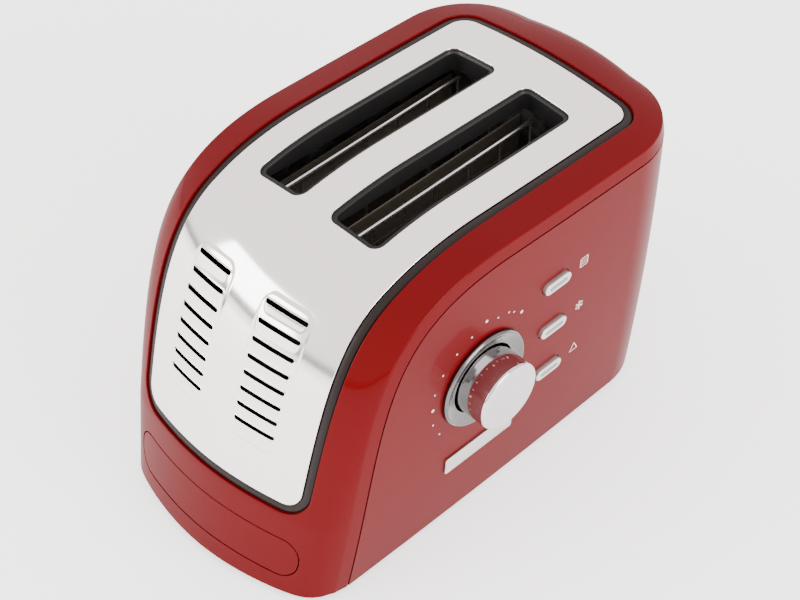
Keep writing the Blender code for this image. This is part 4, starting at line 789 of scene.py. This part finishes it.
black = Finish("black_moulding", (0.008, 0.0075, 0.0075), roughness=0.42, specular_ior_level=0.2)
black_grain = black.noise(2200.0, detail=2.0)
black.set("Base Color", black.blend(black.noise(40.0), (0.006, 0.0058, 0.0058), (0.011, 0.0106, 0.0106)))
black.set("Roughness", 0.38 + black_grain * 0.16)
black.bump(black_grain, 0.00004, 0.5)
for side, name in ((-1, "slot_collar_left"), (1, "slot_collar_right")):
    skin = Skin()
    slot_ends = np.interp((SLOT_START_Y, SLOT_START_Y + SLOT_LENGTH), PROFILE_Y, ARC)
    slot_middle = float(slot_ends.sum()) / 2
    axis = facing(crown, np.array([slot_middle]), np.array([side * SLOT_CENTRE]))[0]
    centre = crown(np.array([slot_middle]), np.array([side * SLOT_CENTRE]))[0]
    reference = np.array(slot_loop(side, -LEDGE))
    low, high = reference[:, 0].min(), reference[:, 0].max()
    left, right = reference[:, 1].min(), reference[:, 1].max()
    turn = SLOT_RADIUS - LEDGE
    outer = moved_in(reference, (low + turn, high - turn, left + turn, right - turn), -LEDGE - 0.0012)
    wide = skin.add(crown_at(-0.0027)(outer[:, 0], outer[:, 1]), facing(crown, outer[:, 0], outer[:, 1]))
    narrow = skin.add(crown_at(-0.0027)(reference[:, 0], reference[:, 1]),
                      facing(crown, reference[:, 0], reference[:, 1]))
    skin.band(wide, narrow)
    points = np.array([skin.points[index] for index in narrow])
    inward = points.mean(axis=0) - points
    inward -= (inward @ axis)[:, None] * axis
    along = np.roll(points, -1, axis=0) - np.roll(points, 1, axis=0)
    way_in = np.cross(axis, along)
    way_in *= np.sign((way_in * inward).sum(axis=1))[:, None]
    way_in /= np.linalg.norm(way_in, axis=1)[:, None]
    previous = narrow
    for step in range(1, 4):
        angle = step / 3 * math.pi / 2
        place = points + way_in * 0.0004 * (math.sin(angle) - 1) - axis * 0.0004 * (1 - math.cos(angle))
        fresh = skin.add(place, way_in * math.sin(angle) + axis * math.cos(angle))
        skin.band(previous, fresh)
        previous = fresh
    height = (points - centre) @ axis
    fresh = skin.add(points - axis * (height + THROAT_DEPTH)[:, None], way_in)
    skin.band(previous, fresh)
    skin.made(name.replace("slot_collar", "slot_throat"), black, "housing", name, slot="black")

# Side mouldings and rear wall: one red shell under the seam, with rounded rear corners. It is
# holed for the browning control, the three buttons, the lever and the mains lead.
SEAM_GAP = GAP + SHEET * SEAM_STEP / math.hypot(SEAM_STEP, SEAM_DROP)
KNOB_Y = 0.1062
KNOB_Z = 0.1010
BUTTON_Y = 0.1620
BUTTON_TOP_Z = 0.1348
BUTTON_PITCH = 0.0342
BUTTON_LENGTH = 0.0208
BUTTON_HEIGHT = 0.0076
BUTTON_ROOM = 0.0008
CONTROL_HOLE = 0.0250
LEVER_SLOT_LOW = 0.0465
LEVER_SLOT_HIGH = 0.1125
LEVER_SLOT_HALF = 0.0023
WALL_CORNER = CORNER_START_Y + REAR_RADIUS * math.pi / 2
WALL_MIDDLE = WALL_CORNER + REAR_HALF
INLET_X = -REAR_HALF * 0.727
INLET_Z = 0.0240
INLET_RADIUS = 0.0055


def wall_point(run, z, grow=0.0):
    """Points on the shell, from a run along its plan: right side, rear right corner, rear, left."""
    run, z = np.broadcast_arrays(np.asarray(run, float), np.asarray(z, float))
    mirrored = run > WALL_MIDDLE
    near = np.where(mirrored, 2 * WALL_MIDDLE - run, run)
    theta = np.clip((near - CORNER_START_Y) / REAR_RADIUS, 0.0, math.pi / 2)
    tuck = BASE_TUCK * np.maximum(0.0, 1 - z / CREASE_HEIGHT) ** 2
    radius = REAR_RADIUS + SEAM_STEP + grow - tuck
    rear_x = REAR_HALF - np.maximum(near - WALL_CORNER, 0.0)
    side = np.stack([side_x(near, z, SEAM_STEP + grow), near, z], -1)
    turned = np.stack([REAR_HALF + radius * np.cos(theta), CORNER_START_Y + radius * np.sin(theta), z], -1)
    rear = np.stack([rear_x, CORNER_START_Y + radius + rear_bow(rear_x), z], -1)
    point = np.where((near < CORNER_START_Y)[..., None], side,
                     np.where((near < WALL_CORNER)[..., None], turned, rear))
    return point * np.where(mirrored, -1.0, 1.0)[..., None] ** np.array((1, 0, 0))


def wall_top():
    """Seam edge of the shell's right hand half as run and height, from the floor to the rear middle."""
    arcs = np.arange(0.0, CORNER_ARC, 0.002)
    y, z, ny, nz = (np.interp(arcs, ARC, values) for values in (PROFILE_Y, PROFILE_Z, NORMAL_Y, NORMAL_Z))
    y, z = y - ny * (SEAM_DROP + SEAM_GAP), z - nz * (SEAM_DROP + SEAM_GAP)
    keep = z > 0.0006
    start_y = float(np.interp(0.0, z, y))
    thetas = np.linspace(0.0, math.pi / 2, 30)[1:]
    corner_z = cover_point(CORNER_ARC + REAR_RADIUS * thetas, np.full(len(thetas), HALF_WIDTH))[:, 2]
    across = np.linspace(HALF_WIDTH, 0.0, 20)[1:]
    rear = cover_point(np.full(len(across), TOP_END), across)
    drop = SEAM_DROP + SEAM_GAP
    runs = [start_y, *y[keep], *(CORNER_START_Y + REAR_RADIUS * thetas)]
    runs += [*(WALL_CORNER + REAR_HALF - rear[:, 0])]
    heights = [0.0, *z[keep], *(corner_z - drop), *(rear[:, 2] - drop)]
    return list(zip(runs, heights))


def circle(centre, radius, count=48):
    return [(centre[0] + radius * math.cos(2 * math.pi * k / count),
             centre[1] + radius * math.sin(2 * math.pi * k / count)) for k in range(count)]


shell_skin = Skin()
top_line = wall_top()
across_line = top_line + [(2 * WALL_MIDDLE - run, z) for run, z in reversed(top_line[:-1])]
foot_runs = np.linspace(across_line[-1][0], across_line[0][0], 260)[1:-1]
wall_outline = [(float(run), float(z)) for run, z in across_line[::-1]]
wall_outline = wall_outline + [(float(run), 0.0) for run in foot_runs[::-1]]
half_length, half_height = BUTTON_LENGTH / 2 + BUTTON_ROOM, BUTTON_HEIGHT / 2 + BUTTON_ROOM
button_holes = [rounded_loop(BUTTON_Y - half_length, BUTTON_Y + half_length, z - half_height,
                             z + half_height, half_length, 0.001, 12)
                for z in (BUTTON_TOP_Z - BUTTON_PITCH * index for index in range(3))]
lever_slot = rounded_loop(WALL_MIDDLE - LEVER_SLOT_HALF, WALL_MIDDLE + LEVER_SLOT_HALF,
                          LEVER_SLOT_LOW - GAP, LEVER_SLOT_HIGH + GAP, LEVER_SLOT_HALF, 0.002, 6)
inlet_run = 2 * WALL_MIDDLE - (WALL_CORNER + REAR_HALF + INLET_X)
wall_holes = [circle((KNOB_Y, KNOB_Z), CONTROL_HOLE), *button_holes, lever_slot,
              circle((inlet_run, INLET_Z), INLET_RADIUS + 2 * GAP, 32)]
wall_grid = ((0.0, 2 * WALL_MIDDLE, 0.0, CREASE_HEIGHT + 0.01), 0.003)
wall_rings = shell_skin.fill(wall_point, wall_outline, wall_holes, [wall_grid], side=-1)
for ring in wall_rings[1:]:
    shell_skin.turn_down(ring, 0.0003, 0.0019, hole=True, steps=3)
edge = wall_rings[0][:len(across_line)]
edge_points, edge_normals = shell_skin.rim(edge)
shell_skin.band(shell_skin.add(edge_points, [(0, 0, 1)] * len(edge)),
                shell_skin.add(edge_points - edge_normals * 0.0022, [(0, 0, 1)] * len(edge)), closed=False)
foot = wall_rings[0][len(across_line):]
foot_points, foot_normals = shell_skin.rim(foot)
shell_skin.band(shell_skin.add(foot_points, [(0, 0, -1)] * len(foot)),
                shell_skin.add(foot_points - foot_normals * 0.0022, [(0, 0, -1)] * len(foot)), closed=False)
shell_skin.made("red_shell", red, "housing", "shell", slot="red")

# Browning control: a dished dark chrome ring let into the side, and a chrome cup knob that turns in it. The
# dots round it are printed on the red in pale ink.
RING_OUTER = 0.0310
RING_INNER = 0.0222
knob_axis = side_frame(KNOB_Y, KNOB_Z)


def filleted(outline, radius, steps=5):
    """Open line of radius and height with its inner corners rounded."""
    points = [Vector(point) for point in outline]
    found = [points[0]]
    for before, here, after in zip(points, points[1:], points[2:]):
        to_before, to_after = before - here, after - here
        reach = min(radius, to_before.length * 0.45, to_after.length * 0.45)
        start, end = here + to_before.normalized() * reach, here + to_after.normalized() * reach
        found += [(1 - t) ** 2 * start + 2 * t * (1 - t) * here + t ** 2 * end
                  for t in (step / steps for step in range(steps + 1))]
    return found + [points[-1]]


def turned(name, outline, place, finish, body, *nodes, slot=None, segments=128):
    """Piece turned about its own Z from an open line of radius and height."""
    points, faces = [], []
    for radius, height in outline:
        points += [place @ Vector((radius * math.cos(2 * math.pi * k / segments),
                                   radius * math.sin(2 * math.pi * k / segments), height)) + ORIGIN
                   for k in range(segments)]
    for row in range(len(outline) - 1):
        low, high = row * segments, (row + 1) * segments
        faces += [(low + k, low + (k + 1) % segments, high + (k + 1) % segments, high + k)
                  for k in range(segments)]
    mesh = bpy.data.meshes.new(name)
    mesh.from_pydata([tuple(point) for point in points], [], faces)
    return shown(name, mesh, finish, body, *nodes, slot=slot)


def shown(name, mesh, finish, body, *nodes, slot=None, angle=32):
    """Object of a mesh that is already in place, welded and shaded smooth up to an angle."""
    shape = bmesh.new()
    shape.from_mesh(mesh)
    bmesh.ops.remove_doubles(shape, verts=shape.verts, dist=1e-6)
    bmesh.ops.dissolve_degenerate(shape, edges=shape.edges, dist=1e-6)
    bmesh.ops.recalc_face_normals(shape, faces=shape.faces)
    shape.to_mesh(mesh)
    shape.free()
    mesh.shade_smooth()
    mesh.set_sharp_from_angle(angle=math.radians(angle))
    mesh.materials.append(finish.material)
    made = bpy.data.objects.new(name, mesh)
    bpy.context.scene.collection.objects.link(made)
    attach(made, body)
    if nodes:
        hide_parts(*nodes)
    return made


dark_chrome = Finish("dark_chrome", (0.13, 0.128, 0.13), metallic=1.0, roughness=0.14)
dark_chrome.set("Roughness", 0.10 + dark_chrome.noise(500.0) * 0.07)
dark_chrome.set("Base Color", dark_chrome.blend(dark_chrome.noise(35.0), (0.10, 0.098, 0.10),
                                                (0.17, 0.167, 0.168)))
ring_line = filleted([(RING_OUTER - 0.0001, 0.0003), (RING_OUTER, 0.0019), (RING_OUTER - 0.0013, 0.0031),
                      (RING_OUTER - 0.0036, 0.0020), (RING_INNER + 0.0016, 0.0010), (RING_INNER, 0.0010),
                      (RING_INNER, -0.0055)], 0.0006)
turned("control_ring", ring_line, knob_axis, dark_chrome, "housing", "knob_ring", slot="dark_chrome")

chrome = Finish("bright_chrome", (0.58, 0.565, 0.56), metallic=1.0, roughness=0.09)
chrome.set("Roughness", 0.07 + chrome.noise(300.0) * 0.06)
chrome.set("Base Color", chrome.blend(chrome.noise(60.0), (0.54, 0.525, 0.52), (0.62, 0.605, 0.60)))
knob_line = filleted([(0.00001, 0.0212), (0.0100, 0.0211), (0.0188, 0.0207), (0.0203, 0.0204),
                      (0.0211, 0.0194), (0.0211, -0.0018), (0.0196, -0.0018)], 0.0006)
turned("control_knob", knob_line, knob_axis, chrome, "knob", "browning_knob", slot="chrome", segments=160)

ink = Finish("pale_ink", (0.74, 0.55, 0.54), roughness=0.55)
ink.set("Base Color", ink.blend(ink.noise(900.0), (0.68, 0.49, 0.48), (0.80, 0.62, 0.61)))


class Marks:
    """Thin printed marks that lie on the right hand side of the shell."""

    def __init__(self):
        self.points = []
        self.faces = []

    def patch(self, loop):
        first = len(self.points)
        runs, heights = np.array(loop).T
        self.points += [tuple(point + np.array(ORIGIN)) for point in wall_point(runs, heights, 0.00008)]
        self.faces.append(tuple(range(first, first + len(loop))))

    def dot(self, y, z, radius):
        self.patch(circle((y, z), radius, 20))

    def bar(self, start, end, width):
        run = Vector(end) - Vector(start)
        side = Vector((-run.y, run.x)).normalized() * width / 2
        corners = [Vector(start) - side, Vector(end) - side, Vector(end) + side, Vector(start) + side]
        self.patch([tuple(corner) for corner in corners])

    def ring(self, loop, width):
        for start, end in zip(loop, loop[1:] + loop[:1]):
            self.bar(start, end, width)


marks = Marks()
for y, z, radius in ((0.0680, 0.1028, 0.0011), (0.0688, 0.0905, 0.0006), (0.0745, 0.0790, 0.0006),
                     (0.0688, 0.1145, 0.0006), (0.0745, 0.1255, 0.0006), (0.0845, 0.1345, 0.0006),
                     (0.0955, 0.1395, 0.0006), (0.1066, 0.1437, 0.0010), (0.1156, 0.1401, 0.0006),
                     (0.1243, 0.1381, 0.0006), (0.1284, 0.1355, 0.0006), (0.1348, 0.1311, 0.0011)):
    marks.dot(y, z, radius)

# Printed pictures beside the buttons: a small grid, a snowflake and a triangle, in the same ink.
ICON_Y = 0.1854
GRID_Z, FLAKE_Z, TRIANGLE_Z = (BUTTON_TOP_Z - BUTTON_PITCH * index for index in range(3))
GRID_HALF = 0.0030
FLAKE_ARM = 0.0034
TRIANGLE_HALF = 0.0032
LINE = 0.0005
left, right = ICON_Y - GRID_HALF, ICON_Y + GRID_HALF
for shift in (-1, -0.33, 0.33, 1):
    row = GRID_Z + shift * GRID_HALF
    marks.bar((left, row), (right, row), LINE)
for column in (left, right):
    marks.bar((column, GRID_Z - GRID_HALF), (column, GRID_Z + GRID_HALF), LINE)
middle = Vector((ICON_Y, FLAKE_Z))
for arm in range(3):
    angle = math.pi * (arm / 3 + 0.5)
    reach = Vector((math.cos(angle), math.sin(angle))) * FLAKE_ARM
    marks.bar(middle - reach, middle + reach, LINE)
    for end in (-1, 1):
        tip = middle + reach * end * 0.62
        for bend in (-0.9, 0.9):
            branch = reach * end * 0.34
            branch.rotate(Matrix.Rotation(bend, 2))
            marks.bar(tip, tip + branch, 0.0004)
marks.ring([(ICON_Y - TRIANGLE_HALF, TRIANGLE_Z - 0.0026), (ICON_Y + TRIANGLE_HALF, TRIANGLE_Z - 0.0026),
            (ICON_Y, TRIANGLE_Z + TRIANGLE_HALF)], LINE)
marks_mesh = bpy.data.meshes.new("printed_marks")
marks_mesh.from_pydata(marks.points, [], marks.faces)
marks_mesh.materials.append(ink.material)
marks_piece = bpy.data.objects.new("printed_marks", marks_mesh)
bpy.context.scene.collection.objects.link(marks_piece)
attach(marks_piece, "housing")

# Push buttons: satin silver mouldings with rounded ends that stand a little proud of the red, each
# with a narrow grey light window let into its face.
satin = Finish("satin_silver", (0.56, 0.54, 0.52), metallic=0.85, roughness=0.30)
satin_grain = satin.noise(1500.0, detail=2.0)
satin.set("Roughness", 0.26 + satin_grain * 0.10)
satin.set("Base Color", satin.blend(satin.noise(80.0), (0.52, 0.50, 0.48), (0.60, 0.58, 0.56)))
lens = Finish("lens_window", (0.16, 0.16, 0.17), roughness=0.22, coat_weight=0.3)
lens.set("Base Color", lens.blend(lens.noise(400.0), (0.13, 0.13, 0.14), (0.20, 0.20, 0.21)))


def stadium(half_length, half_height, count=20):
    """Loop with round ends about the origin."""
    points = []
    run = max(half_length - half_height, 0.0)
    for end, start in ((1, -0.5), (-1, 0.5)):
        points += [(end * run + half_height * math.cos((start + k / count) * math.pi),
                    half_height * math.sin((start + k / count) * math.pi)) for k in range(count + 1)]
    return points


def lofted(name, rings, place, finish, body, *nodes, slot=None, cap=True, angle=32):
    """Piece through rings of points, the last one closed flat."""
    points, faces = [], []
    count = len(rings[0][0])
    for loop, height in rings:
        points += [tuple(place @ Vector((x, y, height)) + ORIGIN) for x, y in loop]
    for row in range(len(rings) - 1):
        faces += [(row * count + k, row * count + (k + 1) % count, (row + 1) * count + (k + 1) % count,
                   (row + 1) * count + k) for k in range(count)]
    if cap:
        faces.append(tuple(range((len(rings) - 1) * count, len(rings) * count)))
    mesh = bpy.data.meshes.new(name)
    mesh.from_pydata(points, [], faces)
    return shown(name, mesh, finish, body, *nodes, slot=slot, angle=angle)


for number in range(1, 4):
    spot = side_frame(BUTTON_Y, BUTTON_TOP_Z - BUTTON_PITCH * (number - 1))
    half_l, half_h, top = BUTTON_LENGTH / 2, BUTTON_HEIGHT / 2, 0.0024
    rings = [(stadium(half_l, half_h), -0.0080), (stadium(half_l, half_h), top - 0.0007)]
    for step in range(1, 6):
        angle = step / 5 * math.pi / 2
        inset = 0.0007 * (1 - math.cos(angle))
        rings.append((stadium(half_l - inset, half_h - inset), top - 0.0007 + 0.0007 * math.sin(angle)))
    rings.append((stadium(0.0069, 0.0013), top + 0.00003))
    rings.append((stadium(0.0068, 0.0012), top - 0.0007))
    lofted(f"push_button_{number}", rings, spot, satin, f"button_{number}", f"button_{number}", slot="silver")
    window_rings = [(stadium(0.0065, 0.0009), top - 0.0009), (stadium(0.0065, 0.0009), top - 0.0001),
                    (stadium(0.0063, 0.0007), top + 0.00012)]
    lofted(f"light_window_{number}", window_rings, spot, lens, f"button_{number}", f"button_lens_{number}",
           slot="lens")

# Badge: a plain bar of satin metal with softened edges, fixed flat on the side under the control.
BADGE_START_Y = 0.0810
BADGE_Z = 0.0455
BADGE_HALF_LENGTH = 0.02675
BADGE_HALF_HEIGHT = 0.0059
BADGE_CORNER = 0.0012
badge_frame = side_frame(BADGE_START_Y + BADGE_HALF_LENGTH, BADGE_Z)


def box_loop(half_x, half_y, radius, steps=6):
    return rounded_loop(-half_x, half_x, -half_y, half_y, radius, spacing=1.0, steps=steps)


badge_rings = [(box_loop(BADGE_HALF_LENGTH - inset, BADGE_HALF_HEIGHT - inset, BADGE_CORNER - inset), height)
               for inset, height in ((0.0, 0.0003), (0.0, 0.0010), (0.00015, 0.00121), (0.00035, 0.0013))]
lofted("side_badge", badge_rings, badge_frame, satin, "housing", "badge_plate", slot="silver")

# Bread lever: a black moulded grip behind the rear wall, rounded all over, on a steel arm.
lever_low_corner, lever_high_corner = (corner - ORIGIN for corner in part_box("lever_knob"))
lever_middle = (lever_low_corner + lever_high_corner) / 2
lever_size = lever_high_corner - lever_low_corner
lever_frame = Matrix.Translation(lever_middle) @ Matrix.Rotation(-math.pi / 2, 4, "X")
lever_rings = []
for share, inset in ((0.0, 0.0030), (0.02, 0.0018), (0.07, 0.0008), (0.14, 0.0002), (0.22, 0.0), (0.78, 0.0),
                     (0.86, 0.0003), (0.93, 0.0010), (0.98, 0.0021), (1.0, 0.0034)):
    lever_rings.append((box_loop(lever_size.x / 2 - inset, lever_size.z / 2 - inset, 0.0046 - inset * 0.6),
                        (share - 0.5) * lever_size.y))
lofted("lever_grip", lever_rings, lever_frame, black, "carriage", "lever_knob", slot="black", angle=50)

# Pieces that keep their made form: feet, base, tray pan, bulkheads, wires and the parts inside.
rubber = Finish("foot_rubber", (0.028, 0.027, 0.027), roughness=0.75)
rubber.set("Roughness", 0.68 + rubber.noise(700.0) * 0.16)
rubber.set("Base Color", rubber.blend(rubber.noise(120.0), (0.022, 0.021, 0.021), (0.040, 0.038, 0.037)))
sheet = Finish("galvanised_sheet", (0.55, 0.56, 0.57), metallic=1.0, roughness=0.38)
spangle = sheet.value("ShaderNodeTexVoronoi", {"feature": "F1"}, {"Vector": sheet.place(), "Scale": 160.0},
                      "Distance")
sheet.set("Base Color", sheet.blend(spangle, (0.20, 0.20, 0.205), (0.34, 0.34, 0.345)))
sheet.set("Roughness", 0.30 + spangle * 0.22)
wire = Finish("bright_wire", (0.62, 0.62, 0.61), metallic=1.0, roughness=0.28)
wire.set("Roughness", 0.22 + wire.noise(600.0) * 0.14)
wire.set("Base Color", wire.blend(wire.noise(90.0), (0.52, 0.52, 0.51), (0.70, 0.70, 0.69)))
mica = Finish("mica_card", (0.50, 0.44, 0.33), roughness=0.55)
fleck = mica.noise(700.0, detail=4.0)
mica.set("Base Color", mica.blend(fleck, (0.055, 0.046, 0.034), (0.13, 0.11, 0.085)))
mica.set("Roughness", 0.40 + fleck * 0.35)
board = Finish("circuit_board", (0.04, 0.14, 0.07), roughness=0.42)
track = board.value("ShaderNodeTexBrick", {"offset": 0.5}, {
    "Vector": board.place(), "Scale": 90.0, "Mortar Size": 0.06}, "Fac")
board.set("Base Color", board.blend(track, (0.04, 0.14, 0.07), (0.10, 0.26, 0.12)))
magnet = Finish("magnet_winding", (0.50, 0.22, 0.10), metallic=0.8, roughness=0.4)
winding = magnet.value("ShaderNodeTexWave", {"wave_type": "BANDS", "bands_direction": "Z"}, {
    "Vector": magnet.place(), "Scale": 300.0})
magnet.set("Base Color", magnet.blend(winding, (0.30, 0.12, 0.05), (0.62, 0.30, 0.15)))
looks = {
    "foot_1": rubber, "foot_2": rubber, "foot_3": rubber, "foot_4": rubber, "base_plate": black,
    "crumb_tray": sheet, "bulkhead_front": sheet, "bulkhead_rear": sheet, "reflector_left": sheet,
    "reflector_right": sheet, "lifter_left": sheet, "lifter_right": sheet, "carriage": sheet,
    "rod_bracket": sheet, "guide_left_outer": wire, "guide_left_inner": wire, "guide_right_inner": wire,
    "guide_right_outer": wire, "guide_rod": wire, "knob_shaft": wire, "heater_left": mica,
    "heater_centre": mica, "heater_right": mica, "control_board": board, "potentiometer": black,
    "button_switch_1": black, "button_switch_2": black, "button_switch_3": black, "cord_inlet": black,
    "latch_magnet": magnet,
}
for node, finish in looks.items():
    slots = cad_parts[node].material_slots
    for slot in slots:
        slot.link = "OBJECT"
        slot.material = finish.material
